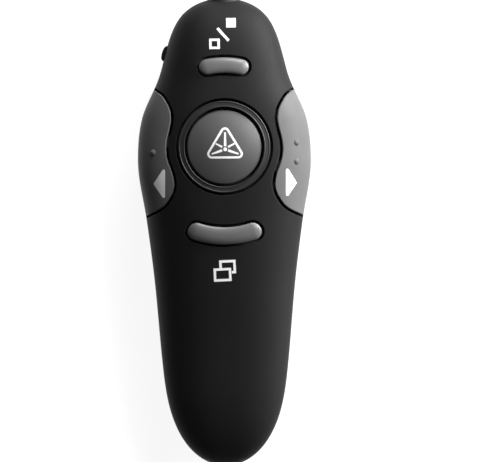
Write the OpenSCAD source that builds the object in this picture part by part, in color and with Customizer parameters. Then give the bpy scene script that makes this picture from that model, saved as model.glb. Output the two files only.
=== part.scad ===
// Wireless presentation clicker: two housing halves with a dished battery cover, five keys over
// tact switches, a laser in the nose and a USB receiver docked in the tail.
// X runs to the right, Y towards the laser nose, Z up through the keys; the belly lies on Z = 0.

/* [Body] */
// Length of the housing, tail to head, without the nose ring
body_length = 118.5; // [114:0.5:126]
// Height of the parting plane above the belly
parting_height = 11; // [10.5:0.25:11.5]
// Wall of the housing halves
wall = 1.8; // [1.5:0.1:2]
// Widths 10, 27 and 45 mm from the tail
tail_widths = [25.1, 32.1, 35.3];
// Widths 56.5, 40.5, 30.5, 18.5 and 8.5 mm from the head
head_widths = [39.5, 43.9, 41.7, 32.0, 26.2];
// Heights above the parting plane at the tail's three places
tail_rises = [6.3, 8.6, 10.6];
// Heights above the parting plane at the head's five places
head_rises = [12.3, 13.3, 13.25, 12.3, 10.3];
// Squareness of the top's cross-section
top_squareness = 2.7; // [2.4:0.1:3]
// Share of the width that is flat under the belly
belly_flat = 0.45; // [0.35:0.05:0.55]

/* [Keys] */
// Distance from the head to the centre of the laser key
laser_key_from_head = 37.8; // [36:0.2:39]
// Radius of the laser key
laser_key_r = 9.4; // [8.8:0.1:9.6]
// Gap between the laser key and its ring
laser_key_gap = 0.65; // [0.4:0.05:0.9]
// Width of the trim ring
ring_width = 1.55; // [1.2:0.05:1.8]
// Groove between the trim ring and the housing
ring_groove = 0.6; // [0.4:0.1:0.8]
// Distance from the laser key's centre to the black screen key's centre line
black_key_arc_r = 20.6; // [20.2:0.1:21.6]
// Length of the black screen key
black_key_length = 12.6; // [11:0.2:13.6]
// Width of the black screen key
black_key_width = 4; // [3.4:0.1:4.2]
// Distance from the laser key's centre to the full screen key's centre line
full_key_arc_r = 22.5; // [22:0.1:23.5]
// Length of the full screen key
full_key_length = 18.9; // [16:0.3:20]
// Width of the full screen key
full_key_width = 4.4; // [3.6:0.1:4.6]
// Gap round the two bar keys
bar_key_gap = 0.6; // [0.35:0.05:0.7]
// How far the bar keys stand out of the housing
bar_key_proud = 0.8; // [0.4:0.05:1]
// How far in from its edge a bar key's crown is rounded
bar_key_round = 1.3; // [0.6:0.1:1.5]
// Gap between a wing key and the housing
wing_gap = 0.6; // [0.45:0.05:0.8]
// Wall of the wing keys
wing_wall = 2.2; // [1.8:0.1:2.4]
// Travel of the keys at their switches
key_travel = 0.3; // [0.2:0.05:0.35]

/* [Electronics] */
// Thickness of the circuit board
board_thickness = 1.2; // [1:0.1:1.6]
// Height of a tact switch's housing
tact_height = 3.5; // [3.1:0.1:3.6]
// How far a plunger stands out of its switch
plunger_out = 0.8; // [0.7:0.1:1]
// Radius of a plunger
plunger_r = 1.75; // [1.5:0.05:1.8]
// Radius of the laser's brass barrel
barrel_r = 3; // [2.8:0.1:3.1]
// Outer radius of the nose ring
nose_r = 4.2; // [4:0.1:4.6]
// How far the nose ring stands out of the head
nose_out = 1.5; // [1:0.1:3]
// Length of the power switch's knob
knob_length = 4; // [3.6:0.1:4.4]
// How far the knob stands out of the wall
knob_out = 0.9; // [0.6:0.1:1.2]
// Travel of the knob
knob_travel = 2; // [1.6:0.1:2.2]

/* [Cells and receiver] */
// Diameter of an AAA cell
cell_d = 10.5; // [10:0.1:10.5]
// Length of an AAA cell over its button
cell_length = 44.5; // [43.5:0.1:45]
// Depth of the receiver dock, from the tail
dock_depth = 23.4; // [23:0.2:24.4]
// Width of the receiver's cap
receiver_w = 14; // [13:0.1:14.4]
// Height of the receiver's cap
receiver_h = 5.6; // [5.2:0.1:5.8]
// Length of the receiver's cap
receiver_cap_length = 6.5; // [5.5:0.1:7]
// Height where the battery cover meets the housing
cover_height = 4; // [3.8:0.1:4.2]
// How far the battery cover slides before it lifts off
cover_slide = 6; // [5:0.5:7]

/* [Hidden] */
$fn = 48;

// Fits: a face that only closes, a part that slides, a pin that turns
seam = 0.15;
slide_fit = 0.2;
turn_fit = 0.05;
seat_fit = 0.02;
rib = 1.2;
cut = 1;
black = "#1b1b1d";
grey = "#6f7174";

// Places along Y: the overall length is centred on the origin
tail_y = -(body_length + nose_out) / 2;
head_y = tail_y + body_length;
half_l = body_length / 2;
mid_y = tail_y + half_l;
laser_y = head_y - laser_key_from_head;
dock_y = tail_y + dock_depth;
bay_y = dock_y + rib;

// The bay holds a cell, a spring and a contact plate at each end; the cover reaches past it
contact_t = 0.4;
spring_length = 3;
bay_head_y = bay_y + 2 * contact_t + spring_length + cell_length;
cover_y = bay_head_y + rib + 1.9;
step_y = cover_y + seam;

// Heights, stacked from the floor up: cells, bay roof, board, switches, plungers
cell_z = wall + slide_fit + cell_d / 2;
roof_z = cell_z + cell_d / 2 + 0.1;
roof_t = 0.6;
board_z = roof_z + roof_t + slide_fit;
board_top = board_z + board_thickness;
tact_top = board_top + tact_height;
plunger_top = tact_top + plunger_out;
touch = 0.05;
deck_z = cover_height + seam;
deck_t = 1;

// ---------------------------------------------------------------- housing surface
// A section at angle a (0 at the tail, 180 at the head) is a superellipse; its half width and its
// rise are curves over -cos(a), both times sin(a), so that the two ends close as round tips.
tail_places = [10, 27, 45];
head_places = [56.5, 40.5, 30.5, 18.5, 8.5];
places = concat(tail_places, [for (d = head_places) body_length - d]);
tail_plan_r = 10.55;
head_plan_r = 17.2;
tail_rise_r = 2.6;
head_rise_r = 9.7;
function along(d) = (d - half_l) / half_l;
function spread(value, d) = value / sqrt(1 - pow(along(d), 2));
function curve_points(values, r0, r1) = concat(
    [[-1, sqrt(r0 * half_l)]],
    [for (i = [0:len(values) - 1]) [along(places[i]), spread(values[i], places[i])]],
    [[1, sqrt(r1 * half_l)]]
);
width_curve = curve_points(concat(tail_widths, head_widths) / 2, tail_plan_r, head_plan_r);
rise_curve = curve_points(concat(tail_rises, head_rises), tail_rise_r, head_rise_r);

// Smooth curve through the points k, with slopes from its neighbours
function chord(k, i) = (k[i + 1][1] - k[i][1]) / (k[i + 1][0] - k[i][0]);
function slope(k, i) =
    i == 0 ? chord(k, 0)
    : i == len(k) - 1 ? chord(k, i - 1)
    : let (h0 = k[i][0] - k[i - 1][0], h1 = k[i + 1][0] - k[i][0])
      (chord(k, i - 1) * h1 + chord(k, i) * h0) / (h0 + h1);
function piece_at(k, x, i = 0) = i >= len(k) - 2 || x < k[i + 1][0] ? i : piece_at(k, x, i + 1);
function curve(k, x) =
    let (i = piece_at(k, x), h = k[i + 1][0] - k[i][0], t = (x - k[i][0]) / h, s = 1 - t)
    k[i][1] * (1 + 2 * t) * s * s + slope(k, i) * h * t * s * s
    + k[i + 1][1] * t * t * (3 - 2 * t) - slope(k, i + 1) * h * t * t * s;

// Section values at angle a, d inside the outer surface
function section_y(a, d) = mid_y - (half_l - d) * cos(a);
function section_w(a, d) = (curve(width_curve, -cos(a)) - d) * sin(a);
function section_rise(a, d) = (curve(rise_curve, -cos(a)) - d) * sin(a);
function angle_at(y, d) = acos(max(-1, min(1, (mid_y - y) / (half_l - d))));
function half_width(y, d = 0) = section_w(angle_at(y, d), d);
function power(v, p) = sign(v) * pow(abs(v), p);

// The belly is level between its two run-ups to the tips
tail_level_y = tail_y + 20;
head_level_y = head_y - 22.5;
belly_squareness = 2.2;
function run_up(u) = sqrt(max(0, 1 - u * u));
function belly_share(y, d) =
    y < tail_level_y ? run_up((tail_level_y - y) / (tail_level_y - tail_y - d))
    : y > head_level_y ? run_up((y - head_level_y) / (head_y - d - head_level_y))
    : 1;
function depth(y, d) = (parting_height - d) * belly_share(y, d);

// Height of the top at a place, and half width of the belly side at a height
function top_z(x, y, d = 0) =
    let (a = angle_at(y, d), share = min(1, abs(x) / section_w(a, d)))
    parting_height + section_rise(a, d) * pow(1 - pow(share, top_squareness), 1 / top_squareness);
function belly_x(y, z, d = 0) =
    let (share = min(1, (parting_height - z) / depth(y, d)), w = half_width(y, d))
    w * (belly_flat + (1 - belly_flat) * pow(1 - pow(share, belly_squareness), 1 / belly_squareness));

function top_point(a, d, f) = [
    section_w(a, d) * power(cos(f), 2 / top_squareness),
    section_y(a, d),
    parting_height + section_rise(a, d) * pow(max(0, sin(f)), 2 / top_squareness)
];
function belly_point(a, d, side, f) = [
    side * section_w(a, d) * (belly_flat + (1 - belly_flat) * pow(max(0, cos(f)), 2 / belly_squareness)),
    section_y(a, d),
    parting_height - depth(section_y(a, d), d) * pow(max(0, sin(f)), 2 / belly_squareness)
];

stations = 40;
top_steps = 20;
belly_steps = 7;
station_angles = [for (i = [1:stations - 1]) 180 * i / stations];
function top_sections(d) = [for (a = station_angles) [for (j = [0:top_steps]) top_point(a, d, 180 * j / top_steps)]];
function belly_sections(d) = [for (a = station_angles) concat(
    [for (j = [0:belly_steps]) belly_point(a, d, -1, 90 * j / belly_steps)],
    [for (j = [belly_steps:-1:0]) belly_point(a, d, 1, 90 * j / belly_steps)]
)];

// ---------------------------------------------------------------- solids from point grids
function flat(rows) = [for (row = rows) for (p = row) p];
function flipped(faces) = [for (f = faces) [f[0], f[2], f[1]]];
function moved(faces, by) = [for (f = faces) [for (v = f) v + by]];
// Two triangles a cell of a grid of r rows and n columns
function grid_faces(r, n) = [
    for (i = [0:r - 2]) for (j = [0:n - 2]) for (half = [0, 1])
    half == 0 ? [i * n + j, i * n + j + 1, (i + 1) * n + j]
    : [(i + 1) * n + j, i * n + j + 1, (i + 1) * n + j + 1]
];
// A wall between two equal rows of point numbers
function strip(low, high) = [
    for (i = [0:len(low) - 2]) for (half = [0, 1])
    half == 0 ? [low[i], low[i + 1], high[i]] : [high[i], low[i + 1], high[i + 1]]
];

// A housing half: outer and inner sections of equal number, closed by tips and a flat rim
module half_wall(outer, inner) {
    r = len(outer);
    n = len(outer[0]);
    b = r * n;
    tips = [for (d = [0, wall]) for (end = [tail_y + d, head_y - d]) [0, end, parting_height]];
    skin = concat(
        grid_faces(r, n),
        [for (j = [0:n - 2]) [2 * b, j + 1, j]],
        [for (j = [0:n - 2]) [2 * b + 1, (r - 1) * n + j, (r - 1) * n + j + 1]]
    );
    lining = flipped([for (f = skin) [for (v = f) v < b ? v + b : v + 2]]);
    right = concat([2 * b], [for (i = [0:r - 1]) i * n], [2 * b + 1]);
    left = concat([2 * b], [for (i = [0:r - 1]) i * n + n - 1], [2 * b + 1]);
    inside = function (row) [for (v = row) v < b ? v + b : v + 2];
    rim = concat(strip(right, inside(right)), strip(inside(left), left));
    polyhedron(points = concat(flat(outer), flat(inner), tips), faces = concat(skin, lining, rim));
}

// A patch of wall between two grids of points
module thick_patch(outer, inner) {
    r = len(outer);
    n = len(outer[0]);
    b = r * n;
    first = [for (j = [0:n - 1]) j];
    last = [for (j = [0:n - 1]) (r - 1) * n + j];
    right = [for (i = [0:r - 1]) i * n];
    left = [for (i = [0:r - 1]) i * n + n - 1];
    faces = concat(
        grid_faces(r, n), flipped(moved(grid_faces(r, n), b)),
        strip([for (v = first) v + b], first), strip(last, [for (v = last) v + b]),
        strip(right, [for (v = right) v + b]), strip([for (v = left) v + b], left)
    );
    polyhedron(points = concat(flat(outer), flat(inner)), faces = faces);
}

// A solid from closed outlines stacked upwards, whose points mirror each other as i and n - i
module stacked(outlines) {
    n = len(outlines[0]);
    top = (len(outlines) - 1) * n;
    sides = [for (k = [0:len(outlines) - 2]) for (f = strip(
        [for (i = [0:n]) (k + 1) * n + i % n], [for (i = [0:n]) k * n + i % n])) f];
    lid = concat(
        [[0, 1, n - 1]],
        [for (i = [1:n / 2 - 2]) for (half = [0, 1])
            half == 0 ? [i, i + 1, n - i] : [n - i, i + 1, n - i - 1]],
        [[n / 2 - 1, n / 2, n / 2 + 1]]
    );
    polyhedron(points = flat(outlines), faces = concat(sides, flipped(moved(lid, top)), lid));
}

// ---------------------------------------------------------------- outlines
// Outline of a stadium bent round the laser key, shrunk by e; side 1 is towards the head
cap_steps = 5;
bar_steps = 8;
function stadium(length, width, e) =
    let (r = width / 2 - e, reach = length / 2 - width / 2, n = cap_steps, m = bar_steps)
    concat(
        [for (k = [0:n]) [reach + r * cos(90 * k / n), r * sin(90 * k / n)]],
        [for (k = [1:m - 1]) [reach * (1 - 2 * k / m), r]],
        [for (k = [0:2 * n]) [-reach + r * cos(90 + 90 * k / n), r * sin(90 + 90 * k / n)]],
        [for (k = [1:m - 1]) [reach * (2 * k / m - 1), -r]],
        [for (k = [0:n - 1]) [reach + r * cos(270 + 90 * k / n), r * sin(270 + 90 * k / n)]]
    );
function bent(points, arc_r, side) = [
    for (p = points) let (turn = side * p[0] / arc_r * 180 / PI, r = arc_r + p[1])
    [r * sin(turn), laser_y + side * r * cos(turn)]
];
function bar(length, width, arc_r, side, e = 0) = bent(stadium(length, width, e), arc_r, side);
function black_bar(e = 0) = bar(black_key_length, black_key_width, black_key_arc_r, 1, e);
function full_bar(e = 0) = bar(full_key_length, full_key_width, full_key_arc_r, -1, e);

// Inner edge of a wing key: distances from the laser key's centre, along Y and out from it
wing_edge = [
    [-17.34, 19.98], [-15.87, 16.69], [-12.8, 13.72], [-9.86, 12.68], [-7.15, 12.99], [-3, 14.4],
    [-0.6, 14.72], [1.7, 14.53], [5, 13.75], [7.35, 13.43], [9.84, 13.87], [11.64, 14.76],
    [13.34, 16], [14.6, 17.7]
];
edge_steps = 40;
function edge_x(t) = curve(wing_edge, t);
function edge_point(t) = [edge_x(t), laser_y + t];
edge_from = wing_edge[0][0];
edge_to = wing_edge[len(wing_edge) - 1][0];
// Points of the edge, pushed away from the key by e and run out past the body's side
function edge_line(e) =
    let (step = 0.02, run = 4)
    let (line = [for (k = [0:edge_steps])
        let (t = edge_from + (edge_to - edge_from) * k / edge_steps,
             along_edge = [edge_x(t + step) - edge_x(t - step), 2 * step],
             normal = [-along_edge[1], along_edge[0]] / norm(along_edge))
        edge_point(t) + normal * e])
    let (start = line[0] - line[1], end = line[edge_steps] - line[edge_steps - 1])
    concat([line[0] + start / norm(start) * run], line, [line[edge_steps] + end / norm(end) * run]);
far_out = 40;
module wing_outline(e) {
    line = edge_line(e);
    polygon(concat([[far_out, line[0][1]]], line, [[far_out, line[len(line) - 1][1]]]));
}

// ---------------------------------------------------------------- housing
switch_places = [[0, laser_y], [0, laser_y + black_key_arc_r], [0, laser_y - full_key_arc_r]];
wing_switch = [13.2, laser_y - 4.7];
board_screw_places = [[0, laser_y - 15.25], [-5.5, laser_y + 14.9], [5.5, laser_y + 14.9]];
board_tail_y = laser_y - 26.7;
board_head_y = head_y - 10.5;
module_tail_y = head_y - 12.6;
case_y = board_tail_y - 3.5;
case_screw_places = [[-13.4, case_y], [13.4, case_y]];
case_boss_r = 1.9;
case_head_r = 1.9;
case_boss_deck_r = case_head_r + 0.8;
board_head_r = 1.7;
board_boss_r = 1.9;
pilot_r = 0.8;
screw_r = 1;

flange_y = head_y - 4.9;
neck_y = head_y - 3.9;
nose_flange_r = nose_r + 0.8;
cradle_places = [module_tail_y + 2.5, module_tail_y + 6];

// Trim ring and laser key
ring_in_r = laser_key_r + laser_key_gap;
ring_out_r = ring_in_r + ring_width;
groove_r = ring_out_r + ring_groove;
spigot_r = ring_in_r + 0.55;
ledge_z = top_z(groove_r, laser_y) - 0.7;
collar_r = groove_r + 1.2;
collar_z = ledge_z - 1.9;

// Wing key bearing
pin_r = 0.9;
bearing_r = 2;
bearing_y = head_y - 21;
bearing_z = board_top + bearing_r + 0.4;
bearing_x = [7.7, 9.7];
arm_x = [10, 12];
wing_lift = 0.8;

// Power switch: a frame on the left wall, x along the wall to the tail, y outwards
knob_y = head_y - 14;
knob_z = parting_height + 1.3;
knob_h = 2.2;
wall_turn = atan((half_width(knob_y + 0.5) - half_width(knob_y - 0.5)));
module at_knob() {
    translate([-half_width(knob_y), knob_y, knob_z]) rotate([0, 0, -90 + wall_turn]) mirror([0, 1, 0]) children();
}
slot_from = -knob_length / 2 - slide_fit;
slot_to = knob_length / 2 + knob_travel + slide_fit;
module box(from, to) {
    translate(from) cube(to - from);
}

// A boss from a height up into the top's wall, and the height where its blind hole ends
function hole_end(place, r) = top_z(abs(place[0]) + r, place[1]) - wall * 1.5;
module boss(place, r, hole_r, from) {
    translate([place[0], place[1], from]) difference() {
        cylinder(r = r, h = hole_end(place, r) + wall - from);
        translate([0, 0, -cut]) cylinder(r = hole_r, h = cut + hole_end(place, r) - from);
    }
}

// Plate across the housing at y, t thick: between a height and the middle of the top's wall
rib_steps = 12;
module top_rib(y, t, x_to, from) {
    arch = [for (k = [-rib_steps:rib_steps]) let (x = x_to * k / rib_steps) [x, top_z(x, y) - wall / 2]];
    translate([0, y + t, 0]) rotate([90, 0, 0]) linear_extrude(t)
        polygon(concat([[x_to, from], [-x_to, from]], arch));
}

module top_shell() {
    color(black) difference() {
        union() {
            difference() {
                half_wall(top_sections(0), top_sections(wall));
                for (side = [0, 1]) mirror([side, 0, 0])
                    translate([0, 0, parting_height - cut]) linear_extrude(far_out) wing_outline(wing_gap);
            }
            translate([0, laser_y, collar_z]) cylinder(r = collar_r, h = ledge_z - collar_z + 0.1);
            for (place = board_screw_places) boss(place, board_boss_r, pilot_r, board_top);
            for (place = case_screw_places) boss(place, case_boss_r, pilot_r, parting_height + seam / 2);
            for (side = [-1, 1]) wing_bearing(side);
            for (y = [tail_y + 27, tail_y + 36, tail_y + 45]) top_rib(y, rib, half_width(y) * 0.7, roof_z + roof_t + slide_fit);
            for (side = [-1, 1]) receiver_rib(side * receiver_w / 4);
            for (y = cradle_places) top_rib(y, rib, 5, parting_height + 0.5);
        }
        along_nose(module_tail_y) cylinder(r = barrel_r + turn_fit, h = far_out);
        translate([0, laser_y, collar_z - cut]) cylinder(r = spigot_r + turn_fit, h = far_out);
        translate([0, laser_y, ledge_z]) cylinder(r = groove_r, h = far_out);
        for (outline = [black_bar(-bar_key_gap), full_bar(-bar_key_gap)])
            translate([0, 0, parting_height]) linear_extrude(far_out) polygon(outline);
        nose_bore();
        knob_notch();
        for (side = [-1, 1])
            translate([side * bearing_x[0] - side * cut, bearing_y, bearing_z]) rotate([0, side * 90, 0])
                cylinder(r = pin_r + turn_fit, h = bearing_x[1] - bearing_x[0] + 2 * cut);
    }
}

module wing_bearing(side) {
    height = top_z(bearing_x[0], bearing_y) - wall / 2 - bearing_z;
    mirror([side < 0 ? 1 : 0, 0, 0]) translate([bearing_x[0], bearing_y, bearing_z]) {
        rotate([0, 90, 0]) cylinder(r = bearing_r, h = bearing_x[1] - bearing_x[0]);
        translate([0, -bearing_r, 0]) cube([bearing_x[1] - bearing_x[0], 2 * bearing_r, height - 0.8]);
    }
}

// A rib over the docked receiver that keeps it on its floor
module receiver_rib(x) {
    from = tail_y + 5;
    ridge = [for (k = [0:8]) let (y = from + (dock_y - from) * k / 8) [y, top_z(x, y) - wall / 2]];
    translate([x - rib / 2, 0, 0]) rotate([90, 0, 90]) linear_extrude(rib)
        polygon(concat([[dock_y, parting_height + seam], [from, parting_height + seam]], ridge));
}

// Stepped bore for the nose ring, half in each housing half
module nose_bore() {
    along_nose(flange_y - touch) cylinder(r = nose_flange_r + touch, h = neck_y - flange_y + 2 * touch);
    along_nose(neck_y) cylinder(r = nose_r + seam, h = far_out);
}

module knob_notch() {
    at_knob() box([slot_from, -wall - cut, -knob_h / 2 - cut], [slot_to, 4, knob_h / 2 + slide_fit]);
}

// Strip along both side walls, from d inside the surface to a depth
module side_strip(from, to, d_from, d_to, low, high) {
    n = 8;
    outer = [for (k = [0:n]) let (y = from + (to - from) * k / n) [half_width(y) - d_from, y]];
    inner = [for (k = [n:-1:0]) [outer[k][0] + d_from - d_to, outer[k][1]]];
    for (side = [0, 1]) mirror([side, 0, 0])
        translate([0, 0, low]) linear_extrude(high - low) polygon(concat(outer, inner));
}

// Lip that stands up inside the other half, on a root along the bottom shell's rim
module lip(from, to, d, high) {
    side_strip(from, to, d, d + rib, parting_height - rib, high);
    side_strip(from, to, wall / 2, d + rib, parting_height - rib, parting_height - seam);
}

// Plate across the belly side at y, from a height up to another, ending inside the wall
module belly_rib(y, t, from, to) {
    heights = [for (k = [0:6]) from + (to - from) * k / 6];
    side = [for (z = heights) [belly_x(y, z) - wall / 2, z]];
    far = [for (k = [6:-1:0]) [-side[k][0], side[k][1]]];
    translate([0, y + t, 0]) rotate([90, 0, 0]) linear_extrude(t) polygon(concat(side, far));
}

// Level outline of the belly side at a height, from the tail to y, ending inside the wall
module level_outline(z, to) {
    from = tail_level_y - (tail_level_y - tail_y) * run_up((parting_height - z) / parting_height) + wall / 2;
    n = 16;
    line = [for (k = [0:n]) let (u = k / n, y = from + (to - from) * u * u) [max(1, belly_x(y, z) - wall / 2), y]];
    polygon(concat(line, [for (k = [n:-1:0]) [-line[k][0], line[k][1]]]));
}

bay_x = cell_d + slide_fit + touch;

module bottom_shell() {
    color(black) difference() {
        union() {
            difference() {
                half_wall(belly_sections(0), belly_sections(wall));
                box([-far_out, tail_y - cut, -cut], [far_out, step_y, deck_z]);
            }
            difference() {
                translate([0, 0, deck_z]) linear_extrude(deck_t) level_outline(deck_z, step_y + rib);
                box([-bay_x, bay_y, 0], [bay_x, bay_head_y, deck_z + 2 * deck_t]);
            }
            belly_rib(step_y, rib, wall / 2, deck_z + deck_t);
            battery_bay();
            dock();
            for (place = case_screw_places) translate([place[0], place[1], deck_z])
                cylinder(r = case_boss_deck_r, h = parting_height - seam / 2 - deck_z);
            for (y = cradle_places) belly_rib(y, rib, parting_height - depth(y, wall / 2), parting_height - 0.5);
            lip(laser_y + edge_from - 1, laser_y + edge_to + 1, wing_wall + 0.45, board_z - 0.5);
            lip(tail_y + 13, dock_y, wall + slide_fit, parting_height + 1.8);
            lip(tail_y + 29, case_y - case_boss_deck_r, wall + slide_fit, parting_height + 1.8);
        }
        for (place = case_screw_places) translate([place[0], place[1], deck_z - cut]) {
            cylinder(r = screw_r + 0.1, h = far_out);
            cylinder(r = case_head_r + 0.1, h = cut + 1.5);
            translate([0, 0, parting_height - deck_z + cut - seam / 2]) cylinder(r = case_boss_r + slide_fit, h = far_out);
        }
        along_nose(module_tail_y) cylinder(r = barrel_r + turn_fit, h = far_out);
        nose_bore();
        receiver_mouth();
        for (side = [-1, 1]) translate([side * tongue_x, step_y + rib, 0])
            box([-0.9, -2 * rib, wall + 0.05], [0.9, cut, tongue_top + slide_fit]);
        for (side = [-1, 1]) translate([side * hook_x, hook_y, deck_z - cut]) cover_keyhole();
        for (place = board_screw_places) translate([place[0], place[1], roof_z - cut])
            cylinder(r = board_head_r + 0.3, h = far_out);
    }
}

// Walls, roof and end walls round the two cells; the tail wall also closes the receiver's dock
module battery_bay() {
    difference() {
        box([-bay_x - rib, dock_y, deck_z], [bay_x + rib, bay_head_y + rib, roof_z + roof_t]);
        box([-bay_x, bay_y, deck_z - cut], [bay_x, bay_head_y, roof_z]);
        box([-bay_x, bay_head_y - rib, deck_z - cut], [bay_x, bay_head_y, far_out]);
    }
}

// Side walls of the receiver's dock on the deck
module dock() {
    for (side = [-1, 1]) mirror([side < 0 ? 1 : 0, 0, 0])
        box([receiver_w / 2 + slide_fit, tail_y + 9.5, deck_z], [receiver_w / 2 + slide_fit + rib, dock_y + rib, parting_height - slide_fit]);
}

module receiver_mouth() {
    reach = receiver_w / 2 + slide_fit;
    box([-reach, tail_y - cut, deck_z + deck_t], [reach, dock_y, parting_height + cut]);
}

// The cover is held by two hooks in keyhole slots of the deck and by two tongues at its front
hook_x = 13.1;
hook_l = 3.5;
hook_y = case_y + case_boss_deck_r + 1 + cover_slide + hook_l / 2;
hook_neck = 0.8;
hook_head = 1.7;
hook_z = deck_z + deck_t + slide_fit;
module cover_keyhole() {
    grow = slide_fit / 2;
    box([-hook_neck / 2 - grow, -cover_slide, 0], [hook_neck / 2 + grow, hook_l / 2 + slide_fit, 3]);
    box([-hook_head / 2 - grow, -hook_l / 2 - cover_slide - slide_fit, 0], [hook_head / 2 + grow, hook_l / 2 - cover_slide + slide_fit, 3]);
}
module cover_hook() {
    box([-hook_neck / 2, -hook_l / 2, parting_height - depth(hook_y, wall / 2)], [hook_neck / 2, hook_l / 2, hook_z]);
    box([-hook_head / 2, -hook_l / 2, hook_z], [hook_head / 2, hook_l / 2, hook_z + 0.8]);
}
tongue_x = cell_d - 0.35;
tongue_top = wall + 1.5;
module cover_tongue() {
    box([-0.7, -2.6, wall / 2], [0.7, -0.2, tongue_top]);
    box([-0.7, -2.6, tongue_top - 1.1], [0.7, 3, tongue_top]);
}

module battery_cover() {
    color(black) difference() {
        union() {
            intersection() {
                half_wall(belly_sections(0), belly_sections(wall));
                box([-far_out, tail_y - cut, -cut], [far_out, cover_y, cover_height]);
            }
            for (side = [-1, 1]) {
                translate([side * hook_x, hook_y, 0]) cover_hook();
                translate([side * tongue_x, cover_y, 0]) cover_tongue();
            }
        }
        for (k = [-2:2]) translate([0, cover_y - 12 + 2 * k, 0])
            box([-6 + abs(k), -0.5, -cut], [6 - abs(k), 0.5, 0.35]);
    }
}

// ---------------------------------------------------------------- keys
// The laser key is a domed cap, hollow below, with a flange that stops under the collar
dome_r = 30;
key_edge_z = top_z(ring_in_r, laser_y) - 0.1;
dome_top = key_edge_z + dome_r - sqrt(dome_r * dome_r - laser_key_r * laser_key_r);
flange_top = collar_z - 0.3;
flange_t = 0.8;
cap_wall = 1.2;
module laser_button() {
    round_r = 0.7;
    color(grey) translate([0, laser_y, 0]) {
        difference() {
            union() {
                intersection() {
                    translate([0, 0, flange_top - flange_t]) cylinder(r = laser_key_r, h = far_out);
                    translate([0, 0, dome_top - dome_r]) sphere(r = dome_r, $fn = 96);
                    rotate_extrude() polygon(concat(
                        [[0, 0], [laser_key_r, 0]],
                        [for (k = [0:6]) [
                            laser_key_r - round_r * (1 - cos(15 * k)),
                            key_edge_z - 0.35 + 0.55 * sin(15 * k)
                        ]],
                        [[0, dome_top + cut]]
                    ));
                }
                translate([0, 0, flange_top - flange_t]) cylinder(r = laser_key_r + 1.6, h = flange_t);
            }
            translate([0, 0, flange_top - flange_t - cut])
                cylinder(r = laser_key_r - cap_wall, h = key_edge_z - cap_wall - flange_top + flange_t + cut);
        }
        translate([0, 0, plunger_top + touch]) cylinder(r = 1.6, h = key_edge_z - plunger_top - cap_wall / 2);
    }
}

// The trim ring follows the housing's surface and drops a spigot through the collar
ring_proud = 0.3;
module laser_button_ring() {
    n = 48;
    function circle_at(r, z_of) = [for (i = [0:n - 1])
        let (p = [r * cos(360 * i / n), laser_y + r * sin(360 * i / n)]) [p[0], p[1], z_of(p)]];
    bevel = 0.2;
    level = function (z) function (p) z;
    raised = function (h) function (p) top_z(p[0], p[1]) + h;
    loops = [
        circle_at(spigot_r, level(ledge_z - 1.4)),
        circle_at(spigot_r, level(ledge_z)),
        circle_at(ring_out_r, level(ledge_z)),
        circle_at(ring_out_r, raised(ring_proud - bevel)),
        circle_at(ring_out_r - bevel, raised(ring_proud)),
        circle_at(ring_out_r - 2 * bevel, raised(ring_proud - bevel / 2)),
        circle_at(ring_in_r + 2 * bevel, raised(ring_proud - bevel / 2)),
        circle_at(ring_in_r + bevel, raised(ring_proud)),
        circle_at(ring_in_r, raised(ring_proud - bevel)),
        circle_at(ring_in_r, level(ledge_z - 1.4))
    ];
    m = len(loops);
    faces = [for (k = [0:m - 1]) for (f = strip(
        [for (i = [0:n]) k * n + i % n], [for (i = [0:n]) ((k + 1) % m) * n + i % n])) f];
    color("#3c3d40") polyhedron(points = flat(loops), faces = faces);
}

// A bar key: pillowed cap that follows the housing, skirt, flange and post
crown_steps = 4;
module bar_key(outline, post) {
    low = min([for (p = outline(-bar_key_gap)) top_z(p[0], p[1], wall)]);
    stop_z = low - 0.3;
    function ring_at(e, h) = [for (p = outline(e)) [p[0], p[1], top_z(p[0], p[1]) + h]];
    color(grey) {
        difference() {
            union() {
                stacked(concat(
                    [[for (p = outline(0)) [p[0], p[1], stop_z - flange_t]]],
                    [for (k = [0:crown_steps]) ring_at(
                        bar_key_round * (1 - cos(90 * k / crown_steps)),
                        bar_key_proud * sin(90 * k / crown_steps)
                    )]
                ));
                translate([0, 0, stop_z - flange_t]) linear_extrude(flange_t) polygon(outline(-bar_key_gap - 0.6));
            }
            translate([post[0], post[1], plunger_top + touch - far_out]) cylinder(r = plunger_r + slide_fit, h = far_out);
        }
        translate([post[0], post[1], plunger_top + touch]) cylinder(r = 1.4, h = max(stop_z - plunger_top, flange_t));
    }
}
module black_screen_button() {
    bar_key(function (e) black_bar(e), switch_places[1]);
}
module full_screen_button() {
    bar_key(function (e) full_bar(e), switch_places[2]);
}

// A wing key: a patch of the housing's own surface inside the wing outline, with an arm to its
// trunnion, two tabs that stop under the housing and a post over its switch
patch_rows = 20;
patch_steps = 9;
patch_turn = 66;
wing_post_r = 1.4;
tab_half = 1.5;
function tab_top(y) = top_z(edge_x(y - laser_y), y, wall) - 0.35;
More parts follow.
